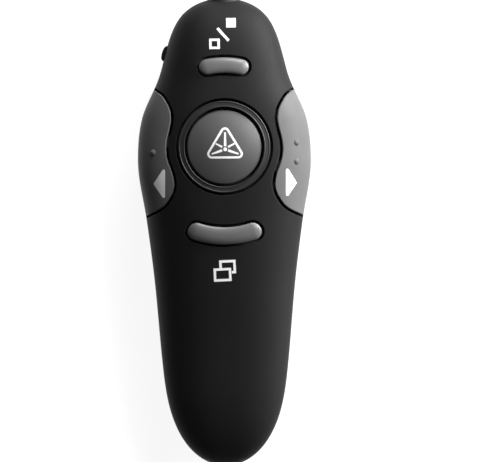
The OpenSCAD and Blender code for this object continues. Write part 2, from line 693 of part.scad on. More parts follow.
// A tab under the housing's edge at y, from x_from out to the key's wall
module stop_tab(y, x_from) {
    box([x_from, y - tab_half, tab_top(y) - 1.2], [edge_x(y - laser_y) + 1.2, y + tab_half, tab_top(y)]);
}
module wing_key() {
    from = angle_at(laser_y + edge_from - 2, 0);
    to = angle_at(laser_y + edge_to + 2, 0);
    function rows(d) = [for (i = [0:patch_rows]) [for (j = [0:patch_steps])
        top_point(from + (to - from) * i / patch_rows, d, patch_turn * j / patch_steps)]];
    arm_z = [bearing_z - 1.3, bearing_z + 1.3];
    color(grey) {
        intersection() {
            thick_patch(rows(0), rows(wing_wall));
            translate([0, 0, parting_height + wing_lift]) linear_extrude(far_out) wing_outline(0);
        }
        translate([0, 0, arm_z[0]]) linear_extrude(arm_z[1] - arm_z[0]) polygon([
            [arm_x[0], bearing_y], [arm_x[0], laser_y + 6], [18.6, laser_y + 3.5],
            [18.8, laser_y + 7], [arm_x[1], laser_y + 10], [arm_x[1], bearing_y]
        ]);
        translate([arm_x[0], bearing_y, bearing_z]) rotate([0, 90, 0]) cylinder(r = 1.7, h = arm_x[1] - arm_x[0]);
        translate([bearing_x[0] + 0.1, bearing_y, bearing_z]) rotate([0, 90, 0]) cylinder(r = pin_r, h = arm_x[0] - bearing_x[0]);
        for (t = [-10.5, 1.5]) stop_tab(laser_y + t, edge_x(t) - wing_gap - 1.1);
        stop_tab(wing_switch[1], wing_switch[0] - wing_post_r - 0.2);
        translate([wing_switch[0], wing_switch[1], plunger_top + touch])
            cylinder(r = wing_post_r, h = tab_top(wing_switch[1]) - 0.5 - plunger_top);
    }
}
// A tactile dot on a wing key: a low cap of a ball, at [distance along Y from the laser key's centre,
// distance in from the body's outline]
dot_r = 0.8;
dot_out = 0.4;
next_dots = [[1.1, 3.5], [-3.7, 3.6]];
previous_dots = [[-1.3, 3.8]];
module dots(places) {
    for (place = places) {
        y = laser_y + place[0];
        x = half_width(y) - place[1];
        slope = [top_z(x + dot_r, y) - top_z(x - dot_r, y), top_z(x, y + dot_r) - top_z(x, y - dot_r)] / (2 * dot_r);
        ball = (dot_r * dot_r + dot_out * dot_out) / (2 * dot_out);
        outward = [-slope[0], -slope[1], 1] / norm([slope[0], slope[1], 1]);
        color(grey) translate([x, y, top_z(x, y)] + (dot_out - ball) * outward) sphere(r = ball, $fn = 32);
    }
}
module next_key() {
    wing_key();
    dots(next_dots);
}
module previous_key() {
    mirror([1, 0, 0]) {
        wing_key();
        dots(previous_dots);
    }
}

// ---------------------------------------------------------------- power switch
knob_steps = 14;
function knob_edge(u) = [-u * knob_length / 2, knob_out * pow(1 - pow(abs(u), 2.6), 0.45)];
module power_switch_knob() {
    color("#2a2a2c") at_knob() {
        linear_extrude(knob_h, center = true) polygon(concat(
            [[-knob_length / 2, -wall - 0.8]],
            [for (k = [0:knob_steps]) knob_edge(cos(180 * k / knob_steps))],
            [[knob_length / 2, -wall - 0.8]]
        ));
        difference() {
            translate([0, -wall - 1.1, 0]) cube([knob_length + 2.4, 1, knob_h - 0.4], center = true);
            translate([0, -wall - 1.6, 0]) cube([1.5, 1.2, far_out], center = true);
        }
    }
}
switch_front = -wall - 1.9;
module power_switch_slider() {
    color("#e8e6df") at_knob() {
        box([-0.7, switch_front - 1, -0.5], [0.7, -wall - 1.05, 0.5]);
    }
}
module power_switch_body() {
    color("#b9bbbd") at_knob() difference() {
        box([-2.4, switch_front - 2.7, -0.9], [4.3, switch_front, board_z - knob_z]);
        box([-0.9, switch_front - 1.2, -0.6], [0.9 + knob_travel, cut, 0.6]);
    }
}

// ---------------------------------------------------------------- board and switches
board_margin = 3.4;
module circuit_board() {
    ends = [board_tail_y, board_head_y];
    line = [for (k = [0:16]) let (y = ends[0] + (ends[1] - ends[0]) * k / 16) [half_width(y) - board_margin, y]];
    notch = barrel_r + 0.6;
    outline = concat(
        line,
        [[notch, board_head_y], [notch, module_tail_y - 0.5], [-notch, module_tail_y - 0.5], [-notch, board_head_y]],
        [for (k = [16:-1:0]) [-line[k][0], line[k][1]]]
    );
    color("#1d5a37") translate([0, 0, board_z]) linear_extrude(board_thickness) difference() {
        polygon(outline);
        for (place = board_screw_places) translate(place) circle(r = screw_r + 0.1);
    }
}

tact_size = 6;
plunger_seat = 1.9;
module tact_switch(place) {
    color("#2d2d30") translate([place[0], place[1], board_top]) difference() {
        union() {
            linear_extrude(tact_height) square(tact_size, center = true);
            for (x = [-1, 1]) for (y = [-2.2, 2.2])
                translate([x * (tact_size / 2 + 0.4), y, 0.15]) cube([1.2, 0.8, 0.3], center = true);
        }
        translate([0, 0, plunger_seat - key_travel - 0.1]) cylinder(r = plunger_r + turn_fit, h = tact_height);
    }
}
module plunger(place) {
    color("#d9d4c8") translate([place[0], place[1], board_top + plunger_seat])
        cylinder(r = plunger_r, h = plunger_top - board_top - plunger_seat);
}
module laser_tact_switch() {
    tact_switch(switch_places[0]);
}
module black_screen_tact_switch() {
    tact_switch(switch_places[1]);
}
module full_screen_tact_switch() {
    tact_switch(switch_places[2]);
}
module next_tact_switch() {
    tact_switch(wing_switch);
}
module previous_tact_switch() {
    tact_switch([-wing_switch[0], wing_switch[1]]);
}
module laser_plunger() {
    plunger(switch_places[0]);
}
module black_screen_plunger() {
    plunger(switch_places[1]);
}
module full_screen_plunger() {
    plunger(switch_places[2]);
}
module next_plunger() {
    plunger(wing_switch);
}
module previous_plunger() {
    plunger([-wing_switch[0], wing_switch[1]]);
}

module radio_chip() {
    color("#101113") translate([-6, laser_y - 8, board_top]) linear_extrude(0.9) square(5, center = true);
}
module crystal() {
    color("silver") translate([6.5, laser_y - 9, board_top]) hull() for (x = [-1.4, 1.4])
        translate([x, 0, 0]) cylinder(r = 1.2, h = 1.3, $fn = 32);
}
module capacitors() {
    color("#b08d57") for (place = [[-2, -9], [-1, -12.5], [5.5, -5], [2.4, 6.5]])
        translate([place[0], laser_y + place[1], board_top]) linear_extrude(0.8) square([1, 1.8], center = true);
}

// ---------------------------------------------------------------- laser and nose
nose_y = head_y + nose_out;
nose_bore_r = 2.2;
nose_bevel = 0.4;
window_t = 0.6;
window_y = nose_y - nose_bevel - 0.1 - window_t;
lens_t = 1.2;
lens_r = barrel_r - 0.8;
lens_seat = 2;
barrel_front_y = nose_y - 2;
module along_nose(y) {
    translate([0, y, parting_height]) rotate([-90, 0, 0]) children();
}
module nose_ring() {
    color("#2b2b2e") along_nose(0) rotate_extrude() polygon([
        [barrel_r + turn_fit, flange_y], [nose_flange_r, flange_y], [nose_flange_r, neck_y], [nose_r, neck_y],
        [nose_r, nose_y - nose_bevel], [nose_r - nose_bevel, nose_y],
        [nose_bore_r + nose_bevel / 2, nose_y], [nose_bore_r, nose_y - nose_bevel],
        [nose_bore_r, barrel_front_y + turn_fit], [barrel_r + turn_fit, barrel_front_y + turn_fit]
    ]);
}
module laser_window() {
    color("#30141a") along_nose(window_y) cylinder(r = nose_bore_r - seat_fit, h = window_t);
}
module laser_module() {
    color("#c9a24a") along_nose(module_tail_y) difference() {
        cylinder(r = barrel_r, h = barrel_front_y - module_tail_y);
        translate([0, 0, barrel_front_y - module_tail_y - lens_seat])
            cylinder(r = lens_r + seat_fit, h = lens_seat + cut);
        translate([0, 0, wall]) cylinder(r = lens_r / 2, h = far_out);
    }
}
module laser_lens() {
    color("#dfe8ee") along_nose(barrel_front_y - lens_seat) cylinder(r = lens_r, h = lens_t);
}
wire_r = 0.35;
wire_reach = 2.2;
module laser_wires() {
    color("#b02a2a") for (x = [-1.2, 1.2]) translate([x, module_tail_y - wire_reach, parting_height]) {
        rotate([-90, 0, 0]) cylinder(r = wire_r, h = wire_reach);
        sphere(r = wire_r);
        cylinder(r = wire_r, h = board_z - parting_height);
    }
}

// ---------------------------------------------------------------- screws
module screw(length, head_r, head_h) {
    difference() {
        union() {
            cylinder(r = head_r, h = head_h);
            cylinder(r = screw_r - 0.25, h = head_h + length);
        }
        for (turn = [0, 90]) rotate([0, 0, turn]) translate([0, 0, 0]) cube([2 * head_r * 0.7, 0.4, 1], center = true);
    }
}
board_screw_head = 0.9;
board_screw_length = 4.2;
case_screw_z = deck_z + 0.2;
case_screw_head = 1.3;
module board_screws() {
    color("silver") for (place = board_screw_places)
        translate([place[0], place[1], board_z - board_screw_head]) screw(board_screw_length, board_head_r, board_screw_head);
}
module case_screws() {
    color("silver") for (place = case_screw_places) translate([place[0], place[1], case_screw_z])
        screw(hole_end(place, case_boss_r) - 0.9 - case_screw_z - case_screw_head, case_head_r - 0.05, case_screw_head);
}

// ---------------------------------------------------------------- cells and contacts
button_h = 1;
module cell(x, nose) {
    low = nose > 0 ? bay_y + contact_t + spring_length : bay_y + contact_t;
    translate([x, low + cell_length / 2, cell_z]) rotate([-90 * nose, 0, 0]) translate([0, 0, -cell_length / 2]) {
        cylinder(r = cell_d / 2 - 0.03, h = cell_length - button_h);
        cylinder(r = 1.9, h = cell_length);
    }
}
module battery_left() {
    color("#5c6268") cell(-cell_d / 2, 1);
}
module battery_right() {
    color("#5c6268") cell(cell_d / 2, -1);
}
contact_low = deck_z + 0.2;
contact_high = roof_z - 0.1;
module tail_link_contact() {
    color("silver") box([-cell_d + 0.5, bay_y, contact_low], [cell_d - 0.5, bay_y + contact_t, contact_high]);
}
// Head contacts have a tab that reaches the board
module head_contact(x) {
    y = bay_head_y - contact_t;
    color("silver") {
        box([x - 4.4, y, contact_low], [x + 4.4, y + contact_t, contact_high]);
        box([x - 1.5, y, contact_low], [x + 1.5, y + contact_t, board_z]);
    }
}
module head_positive_contact() {
    head_contact(-cell_d / 2);
}
module head_negative_contact() {
    head_contact(cell_d / 2);
}

// A conical wire spring along Y, swept with a six-sided wire
spring_turns = 3;
turn_steps = 12;
spring_wire = 0.3;
module coil(x, from, to) {
    n = spring_turns * turn_steps;
    sides = 6;
    rings = [for (k = [0:n]) let (u = k / n, turn = 360 * spring_turns * u, r = 3 - 1.1 * u)
        [for (s = [0:sides - 1]) let (e = 360 * s / sides, out = r + spring_wire * cos(e))
            [x + out * cos(turn), from + (to - from) * u + spring_wire * sin(e), cell_z + out * sin(turn)]]];
    b = (n + 1) * sides;
    walls = [for (k = [0:n - 1]) for (f = strip(
        [for (s = [0:sides]) k * sides + s % sides], [for (s = [0:sides]) (k + 1) * sides + s % sides])) f];
    ends = concat(
        [for (s = [1:sides - 2]) [0, s, s + 1]],
        [for (s = [1:sides - 2]) [b - sides, b - sides + s + 1, b - sides + s]]
    );
    faces = concat(walls, flipped(ends));
    color("silver") polyhedron(points = flat(rings), faces = to > from ? faces : flipped(faces));
}
module tail_spring() {
    coil(-cell_d / 2, bay_y + contact_t + spring_wire + 0.02, bay_y + contact_t + spring_length - spring_wire - 0.02);
}
module head_spring() {
    coil(cell_d / 2, bay_head_y - contact_t - spring_wire - 0.02, bay_head_y - contact_t - spring_length + spring_wire + 0.02);
}

// ---------------------------------------------------------------- USB receiver
plug_w = 12;
plug_h = 4.5;
plug_t = 0.3;
plug_length = 11.6;
cap_y = dock_y - 0.4 - plug_length - receiver_cap_length;
plug_y = cap_y + receiver_cap_length;
receiver_z = deck_z + deck_t + touch + receiver_h / 2;
module receiver_cap() {
    r = 1;
    color("#202022") translate([0, cap_y, receiver_z]) rotate([-90, 0, 0]) difference() {
        hull() for (x = [-1, 1]) for (z = [-1, 1])
            translate([x * (receiver_w / 2 - r), z * (receiver_h / 2 - r), 0]) cylinder(r = r, h = receiver_cap_length, $fn = 32);
        translate([0, 0, receiver_cap_length - 1.5]) linear_extrude(2) square([plug_w, plug_h], center = true);
    }
}
module usb_plug_shell() {
    length = dock_y - 0.4 - plug_y + 1.5;
    color("silver") translate([0, plug_y - 1.5, receiver_z]) rotate([-90, 0, 0]) difference() {
        linear_extrude(length) square([plug_w, plug_h], center = true);
        translate([0, 0, -cut]) linear_extrude(length + 2 * cut)
            square([plug_w - 2 * plug_t, plug_h - 2 * plug_t], center = true);
        for (x = [-2.5, 2.5]) for (side = [-1, 1]) translate([x, side * plug_h / 2, length - 4.5])
            cube([2, 3 * plug_t, 2], center = true);
    }
}
module usb_tongue() {
    tongue_h = 1.9;
    color("#e9e9e4") translate([0, plug_y - 1.5, receiver_z]) {
        box([-plug_w / 2 + plug_t, 0, -tongue_h + touch], [plug_w / 2 - plug_t, 11.5, 0]);
        box([-plug_w / 2 + plug_t, 0, -tongue_h + touch], [plug_w / 2 - plug_t, 2.5, plug_h / 2 - plug_t]);
    }
}

top_shell();
bottom_shell();
battery_cover();
nose_ring();
laser_window();
laser_button();
laser_button_ring();
black_screen_button();
full_screen_button();
previous_key();
next_key();
power_switch_knob();
power_switch_slider();
power_switch_body();
circuit_board();
laser_tact_switch();
black_screen_tact_switch();
full_screen_tact_switch();
previous_tact_switch();
next_tact_switch();
laser_plunger();
black_screen_plunger();
full_screen_plunger();
previous_plunger();
next_plunger();
radio_chip();
crystal();
capacitors();
laser_module();
laser_lens();
laser_wires();
board_screws();
case_screws();
battery_left();
battery_right();
tail_link_contact();
tail_spring();
head_positive_contact();
head_negative_contact();
head_spring();
receiver_cap();
usb_plug_shell();
usb_tongue();
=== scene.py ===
"""Looks of the wireless presentation clicker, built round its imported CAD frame.

Lengths in the shape code are millimetres in the CAD frame; meshes are scaled to metres as they are made.
"""

import math

import bpy
import numpy as np
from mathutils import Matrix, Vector
from mathutils.geometry import delaunay_2d_cdt
from mathutils.kdtree import KDTree


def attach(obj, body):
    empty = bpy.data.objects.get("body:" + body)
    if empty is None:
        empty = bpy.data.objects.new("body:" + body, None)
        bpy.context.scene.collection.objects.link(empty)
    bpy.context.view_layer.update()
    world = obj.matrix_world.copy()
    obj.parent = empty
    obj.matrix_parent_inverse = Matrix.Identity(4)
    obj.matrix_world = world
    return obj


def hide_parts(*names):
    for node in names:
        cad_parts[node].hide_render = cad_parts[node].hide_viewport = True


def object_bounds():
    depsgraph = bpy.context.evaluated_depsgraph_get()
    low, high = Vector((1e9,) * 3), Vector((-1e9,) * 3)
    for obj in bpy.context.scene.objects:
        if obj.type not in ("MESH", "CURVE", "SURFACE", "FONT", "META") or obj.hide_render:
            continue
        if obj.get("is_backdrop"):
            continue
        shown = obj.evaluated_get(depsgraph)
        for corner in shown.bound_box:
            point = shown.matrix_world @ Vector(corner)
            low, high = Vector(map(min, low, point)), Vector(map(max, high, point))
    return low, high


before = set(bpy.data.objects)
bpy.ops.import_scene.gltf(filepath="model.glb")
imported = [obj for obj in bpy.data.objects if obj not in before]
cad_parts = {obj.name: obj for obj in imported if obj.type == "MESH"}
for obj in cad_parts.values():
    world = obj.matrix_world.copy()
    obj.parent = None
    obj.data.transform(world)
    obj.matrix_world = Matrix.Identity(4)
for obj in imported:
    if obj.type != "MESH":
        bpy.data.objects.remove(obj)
cad_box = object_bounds()
MM = 0.001

# -------- the housing's surface, as in the CAD source
LENGTH, NOSE_OUT, PART, WALL = 118.5, 1.5, 11.0, 1.8
HALF = LENGTH / 2
TAIL = -(LENGTH + NOSE_OUT) / 2
HEAD, MID = TAIL + LENGTH, TAIL + HALF
PLACES = [10, 27, 45] + [LENGTH - d for d in (56.5, 40.5, 30.5, 18.5, 8.5)]
WIDTHS = [25.1, 32.1, 35.3, 39.5, 43.9, 41.7, 32.0, 26.2]
RISES = [6.3, 8.6, 10.6, 12.3, 13.3, 13.25, 12.3, 10.3]
TOP_N, BELLY_N, BELLY_FLAT = 2.7, 2.2, 0.45
TAIL_LEVEL, HEAD_LEVEL = TAIL + 20, HEAD - 22.5
LEAST = 1e-4
LASER_Y, LASER_R, RING_IN, RING_OUT, GROOVE_R = HEAD - 37.8, 9.4, 10.05, 11.6, 12.2


def vec(*values):
    return np.array(values, float)


def unit(v):
    v = np.asarray(v, float)
    return v / max(1e-12, np.linalg.norm(v))


def clamp(v, lo, hi):
    return max(lo, min(hi, v))


def turns(n):
    """The angles of n even steps round."""
    return [2 * math.pi * k / n for k in range(n)]


def knots(values, tail_r, head_r):
    """Points of a curve over -1..1; the section is its value times the height of a half circle there."""
    inner = [((p - HALF) / HALF, v / math.sqrt(1 - ((p - HALF) / HALF) ** 2)) for p, v in zip(PLACES, values)]
    return [(-1, math.sqrt(tail_r * HALF))] + inner + [(1, math.sqrt(head_r * HALF))]


def curve(k, x):
    """Smooth curve through the points k, with slopes from its neighbours."""
    i = 0
    while i < len(k) - 2 and x >= k[i + 1][0]:
        i += 1
    chord = [(k[j + 1][1] - k[j][1]) / (k[j + 1][0] - k[j][0]) for j in range(len(k) - 1)]

    def slope(j):
        if j == 0 or j == len(k) - 1:
            return chord[0] if j == 0 else chord[-1]
        h0, h1 = k[j][0] - k[j - 1][0], k[j + 1][0] - k[j][0]
        return (chord[j - 1] * h1 + chord[j] * h0) / (h0 + h1)

    h = k[i + 1][0] - k[i][0]
    t = (x - k[i][0]) / h
    s = 1 - t
    return (k[i][1] * (1 + 2 * t) * s * s + slope(i) * h * t * s * s
            + k[i + 1][1] * t * t * (3 - 2 * t) - slope(i + 1) * h * t * t * s)


WIDTH_CURVE = knots([w / 2 for w in WIDTHS], 10.55, 17.2)
RISE_CURVE = knots(RISES, 2.6, 9.7)
TABLE_N = 4000
TABLE = [[curve(k, -math.cos(math.pi * i / TABLE_N)) for k in (WIDTH_CURVE, RISE_CURVE)]
         for i in range(TABLE_N + 1)]


def angle(y, d=0.0):
    return math.acos(clamp((MID - y) / (HALF - d), -1.0, 1.0))


def from_table(y, d, column):
    a = angle(y, d)
    t = a / math.pi * TABLE_N
    i = min(int(t), TABLE_N - 1)
    value = TABLE[i][column] * (i + 1 - t) + TABLE[i + 1][column] * (t - i)
    return max(LEAST, (value - d) * math.sin(a))


def half_width(y, d=0.0):
    """Of the section at y, of the surface d inside the outer one."""
    return from_table(y, d, 0)


def rise(y, d=0.0):
    """How high the section's top stands over the parting plane."""
    return from_table(y, d, 1)


def depth(y, d=0.0):
    """How deep its belly lies under the parting plane."""
    u = 0
    if y < TAIL_LEVEL:
        u = (TAIL_LEVEL - y) / (TAIL_LEVEL - TAIL - d)
    elif y > HEAD_LEVEL:
        u = (y - HEAD_LEVEL) / (HEAD - d - HEAD_LEVEL)
    return max(LEAST, (PART - d) * math.sqrt(max(0.0, 1 - u * u)))


def oval(share, n):
    """The height of a superellipse at this share of its width."""
    return (1 - share ** n) ** (1 / n)


def polar(angle, n):
    """The place on a superellipse that belongs to an angle, as shares of its width and height."""
    c, s = math.cos(angle), max(0.0, math.sin(angle))
    return math.copysign(abs(c) ** (2 / n), c), s ** (2 / n)


def past_flat(share):
    """The belly's width, as a share, where its curve is at this share beyond the flat."""
    return BELLY_FLAT + (1 - BELLY_FLAT) * share


def top_z(x, y, d=0.0):
    return PART + rise(y, d) * oval(min(1.0, abs(x) / half_width(y, d)), TOP_N)


def top_at(y, z, side, d=0.0):
    """The point of the top half at a height."""
    share = min(1.0, max(0.0, z - PART) / rise(y, d))
    return vec(side * half_width(y, d) * oval(share, TOP_N), y, z)


def belly_x(y, z, d=0.0):
    """Half the belly's width at a height."""
    share = clamp((PART - z) / depth(y, d), 0.0, 1.0)
    return half_width(y, d) * past_flat(oval(share, BELLY_N))


def squeeze(v, full, short, keep):
    """Maps 0..full onto 0..short, leaving what is below keep as it is."""
    if v <= keep:
        return v
    t = min(1.0, (v - keep) / (full - keep))
    room, slack = short - keep, full - keep
    return keep + slack * t + (room - slack) * t * t


def inner_y(y, d):
    """The y on the surface d inside, for a y on the outer one."""
    s = 1 if y > MID else -1
    return MID + s * squeeze(abs(y - MID), HALF, HALF - d - 0.02, 0.8 * (HALF - d))


def solve(fn, lo, hi):
    """Root of a function that changes sign between lo and hi."""
    rising = fn(hi) > 0
    for _ in range(48):
        m = (lo + hi) / 2
        if (fn(m) > 0) == rising:
            hi = m
        else:
            lo = m
    return (lo + hi) / 2


class Top:
    """The top half of the surface, over the plane (u, v): v is y, and u runs across from left to right.
    The inner skin keeps the outer one's x within KEEP of its own half width."""
    BULGE, KEEP = 0.75, 0.78

    @classmethod
    def across(cls, y):
        return half_width(y) + cls.BULGE * rise(y)

    @classmethod
    def at(cls, u, v):
        x, z = polar(math.pi / 2 * (1 - clamp(u / cls.across(v), -1.0, 1.0)), TOP_N)
        return vec(x * half_width(v), v, PART + rise(v) * z)

    @classmethod
    def uv(cls, p):
        x, y = p[0], p[1]
        f = math.acos(min(1.0, abs(x) / half_width(y)) ** (TOP_N / 2))
        return (math.copysign(cls.across(y) * (1 - 2 * f / math.pi), x), y)

    @classmethod
    def inner(cls, p, d):
        """The point of the surface d inside that belongs to a point of the outer one."""
        y = inner_y(p[1], d)
        w = half_width(y, d)
        x = squeeze(min(abs(p[0]) / half_width(p[1]), 1.0) * half_width(y), half_width(y), w, cls.KEEP * w)
        return vec(math.copysign(x, p[0]), y, top_z(x, y, d))


class Belly:
    """The lower half of the surface: seen from below with the head up, u runs from the right rim to the left.
    Across a section g runs from -FULL to FULL, and within FLAT of 0 it crosses the flat."""
    FLAT, BULGE, KEEP = 0.45, 0.6, 0.8
    FULL = math.pi / 2 + FLAT

    @classmethod
    def across(cls, y):
        return half_width(y) + cls.BULGE * depth(y)

    @classmethod
    def at(cls, u, v):
        g = cls.FULL * clamp(u / cls.across(v), -1.0, 1.0)
        w, h = half_width(v), depth(v)
        if abs(g) < cls.FLAT:
            return vec(-g / cls.FLAT * BELLY_FLAT * w, v, PART - h)
        x, z = polar(cls.FULL - abs(g), BELLY_N)
        return vec(-math.copysign(w * past_flat(x), g), v, PART - h * z)

    @classmethod
    def uv(cls, p):
        """By the distance from the middle on the flat, and by the height on the sides."""
        x, y, z = p
        flat = BELLY_FLAT * half_width(y)
        if abs(x) <= flat + 1e-6:
            g = abs(x) / flat * cls.FLAT
        else:
            g = cls.FULL - math.asin(clamp((PART - z) / depth(y), 0.0, 1.0) ** (BELLY_N / 2))
        return (-math.copysign(g / cls.FULL * cls.across(y), x), y)

    @classmethod
    def inner(cls, p, d):
        y = inner_y(p[1], d)
        h0, h = depth(y), depth(y, d)
        z = PART - squeeze(min(1.0, (PART - p[2]) / depth(p[1])) * h0, h0, h, cls.KEEP * h)
        share = min(1.0, abs(p[0]) / belly_x(p[1], p[2]))
        return vec(math.copysign(share * belly_x(y, z, d), p[0]), y, z)


PROBE = 0.1


def surface_normal(surface, u, v):
    e = PROBE / 2
    lim = surface.across(v) - e
    u, v = clamp(u, -lim, lim), clamp(v, TAIL + PROBE, HEAD - PROBE)
    du = surface.at(u + e, v) - surface.at(u - e, v)
    dv = surface.at(u, v + e) - surface.at(u, v - e)
    return unit(np.cross(du, dv))


# -------- meshes
def linked(name, data):
    """A new object in the scene."""
    obj = bpy.data.objects.new(name, data)
    bpy.context.scene.collection.objects.link(obj)
    return obj


def smooth_object(name, points, faces, normals=None, sharp=None):
    """A smooth mesh from points in millimetres, with its corner normals or with sharp edges over an angle."""
    mesh = bpy.data.meshes.new(name)
    mesh.from_pydata([tuple(c * MM for c in p) for p in points], [], faces)
    mesh.polygons.foreach_set("use_smooth", [True] * len(mesh.polygons))
    if normals:
        mesh.normals_split_custom_set(normals)
    else:
        mesh.set_sharp_from_angle(angle=math.radians(sharp))
    mesh.update()
    return linked(name, mesh)


class Mesh:
    """A mesh with a normal for each corner of each face."""

    def __init__(self):
        self.verts, self.faces, self.normals = [], [], []

    def add(self, points):
        start = len(self.verts)
        self.verts.extend(tuple(p) for p in points)
        return list(range(start, start + len(points)))

    def face(self, corners, normals):
        kept = [i for i, c in enumerate(corners) if c != corners[i - 1]]
        if len(kept) > 2:
            self.faces.append([corners[i] for i in kept])
            self.normals.append([normals[i] for i in kept])

    def strip(self, low, high, n_low, n_high):
        """Quads between two closed rows; the outside is on the right of low, seen with high at the right."""
        for i in range(len(low)):
            j = (i + 1) % len(low)
            self.face([low[i], high[i], high[j], low[j]], [n_low[i], n_high[i], n_high[j], n_low[j]])

    def make(self, name, mirror=False):
        """The object, or its mirror image across the middle plane."""
        s = -1 if mirror else 1
        points = [(s * x, y, z) for x, y, z in self.verts]
        normals = [Vector((s * n[0], n[1], n[2])).normalized() for face in self.normals for n in face[::s]]
        return smooth_object(name, points, [face[::s] for face in self.faces], normals)


def wall_normals(low, high):
    """Normals of the strip between two closed rows of points."""
    n = len(low)
    return [unit(np.cross(high[i] - low[i], high[(i + 1) % n] - high[i - 1] + low[(i + 1) % n] - low[i - 1]))
            for i in range(n)]


class Edge:
    """A closed edge of a skin. Its rows hold, for each place, where the surface ends (start), the sharp
    corner it would have (corner), and the points that follow down to the inner skin, or to a floor (cap)."""

    def __init__(self, rows, surface, cap=False):
        self.start, self.corner, *self.rows = zip(*rows)
        self.uv = [surface.uv(p) for p in self.start]
        self.cap = cap


def inside(points, loop):
    """Whether each point lies in the closed loop, by crossings."""
    x, y = points[:, 0], points[:, 1]
    result = np.zeros(len(points), bool)
    for (x0, y0), (x1, y1) in zip(loop, np.roll(loop, -1, axis=0)):
        if y0 != y1:
            crossing = (y0 > y) != (y1 > y)
            result ^= crossing & (x < (x1 - x0) * (y - y0) / (y1 - y0) + x0)
    return result


def between(points, loops):
    """Whether each point lies in the first loop and in none of the others."""
    keep = inside(points, loops[0])
    for loop in loops[1:]:
        keep &= ~inside(points, loop)
    return keep


def tree_of(points):
    tree = KDTree(len(points))
    for i, p in enumerate(points):
        tree.insert(p if len(p) == 3 else (*p, 0), i)
    tree.balance()
    return tree


def triangulated(name, loops, grid, clear):
    """The points and triangles of a face with holes: the loops' own points, the outer one's first, then those
    of the grid that lie clear of every loop."""
    points = [tuple(p) for loop in loops for p in loop]
    tree = tree_of(points)
    points += [tuple(p) for p in grid[between(grid, loops)] if tree.find((*p, 0))[2] > clear]
    lines, first = [], 0
    for loop in loops:
        lines += [(first + i, first + (i + 1) % len(loop)) for i in range(len(loop))]
        first += len(loop)
    _, _, tris, came_from, _, _ = delaunay_2d_cdt([Vector(p) for p in points], lines, [], 1, 1e-6)
    if not all(came_from):
        raise ValueError(name + ": an edge crosses itself")
    tris = np.array([[came_from[i][0] for i in t] for t in tris])
    return points, tris[between(np.array(points)[tris].mean(1), loops)].tolist()


ROUND, ROUND_STEPS = 0.2, 4
ROW_HEIGHT = 0.866
EDGE_CLEAR = 0.55


def skin(name, surface, edges, thickness, step=1.2, mirror=False):
    """A closed sheet on a surface: edges[0] runs round it anticlockwise, seen from outside, the others run
    clockwise round its openings."""
    loops = [np.array(e.uv, float) for e in edges]
    lo, hi = loops[0].min(0), loops[0].max(0)
    grid = np.array([(lo[0] + step * (c + 0.5 * (r % 2)), lo[1] + step * ROW_HEIGHT * r)
                     for r in range(int((hi[1] - lo[1]) / (step * ROW_HEIGHT)) + 2)
                     for c in range(int((hi[0] - lo[0]) / step) + 2)])
    points, tris = triangulated(name, loops, grid, EDGE_CLEAR * step)

    outer = [p for e in edges for p in e.start]
    n_edge = len(outer)
    outer += [surface.at(u, v) for u, v in points[n_edge:]]
    normals = [surface_normal(surface, u, v) for u, v in points]
    m = Mesh()
    m.add(outer)
    for t in tris:
        m.face(t, [normals[i] for i in t])
    ends, first = [], 0
    for e in edges:
        n = len(e.start)
        row, row_n = list(range(first, first + n)), normals[first:first + n]
        first += n
        up = [unit(c - r) for c, r in zip(e.corner, e.rows[0])]
        out = [unit(c - s) for c, s in zip(e.corner, e.start)]
        for k in range(1, ROUND_STEPS + 1):
            t = math.pi / 2 * k / ROUND_STEPS
            pts = e.rows[0] if k == ROUND_STEPS else [
                c + (s - c) * (1 - math.sin(t)) + (r - c) * (1 - math.cos(t))
                for s, c, r in zip(e.start, e.corner, e.rows[0])]
            new, new_n = m.add(pts), [unit(a * math.cos(t) + b * math.sin(t)) for a, b in zip(up, out)]
            m.strip(row, new, row_n, new_n)
            row, row_n = new, new_n
        for low, high in zip(e.rows, e.rows[1:]):
            new, side = m.add(high), wall_normals(low, high)
            m.strip(row, new, side, side)
            row = new
        if e.cap:
            floor_n = surface_normal(surface, *np.mean(e.uv, axis=0))
            centre = m.add([np.mean(e.rows[-1], axis=0)])[0]
            lining = m.add([surface.inner(p, thickness) for p in e.start])
            behind = m.add([surface.inner(np.mean(e.start, axis=0), thickness)])[0]
            for i in range(n):
                j = (i + 1) % n
                m.face([row[i], centre, row[j]], [floor_n] * 3)
                m.face([lining[j], behind, lining[i]], [-floor_n] * 3)
            row = lining
        ends += row
    back = ends + m.add([surface.inner(p, thickness) for p in outer[n_edge:]])
    for t in tris:
        m.face([back[i] for i in t][::-1], [-normals[i] for i in t][::-1])
    return m.make(name, mirror)


# -------- edges
def along_line(points, spacing):
    """The same polyline with points spacing apart, its ends kept."""
    points = np.asarray(points, float)
    run = np.concatenate([[0], np.cumsum(np.linalg.norm(np.diff(points, axis=0), axis=1))])
    where = np.linspace(0, run[-1], max(2, int(round(run[-1] / spacing)) + 1))
    return np.stack([np.interp(where, run, points[:, i]) for i in range(points.shape[1])], 1)


def rounded(corner, cut_normal, r, surface, closed=False):
    """The points r behind a sharp corner line, inside the plane of its cut and into the wall."""
    out, last = [], len(corner) - 1
    for i, c in enumerate(corner):
        a, b = corner[max(0, i - 1)], corner[min(last, i + 1)]
        if closed:
            a, b = corner[i - 1], corner[(i + 1) % len(corner)]
        way = unit(np.cross(unit(b - a), cut_normal(c)))
        if way @ surface_normal(surface, *surface.uv(c)) > 0:
            way = -way
        out.append(c + r * way)
    return out


RIM_STEP, CUT_STEP, FINE_STEP, CORNER_STEP = 0.8, 0.5, 0.1, 0.4


def inward(y, side):
    """The level direction from the body's side into its wall."""
    lo, hi = max(y - PROBE, TAIL + 1e-3), min(y + PROBE, HEAD - 1e-3)
    return unit([-side, (half_width(hi) - half_width(lo)) / (2 * PROBE), 0])


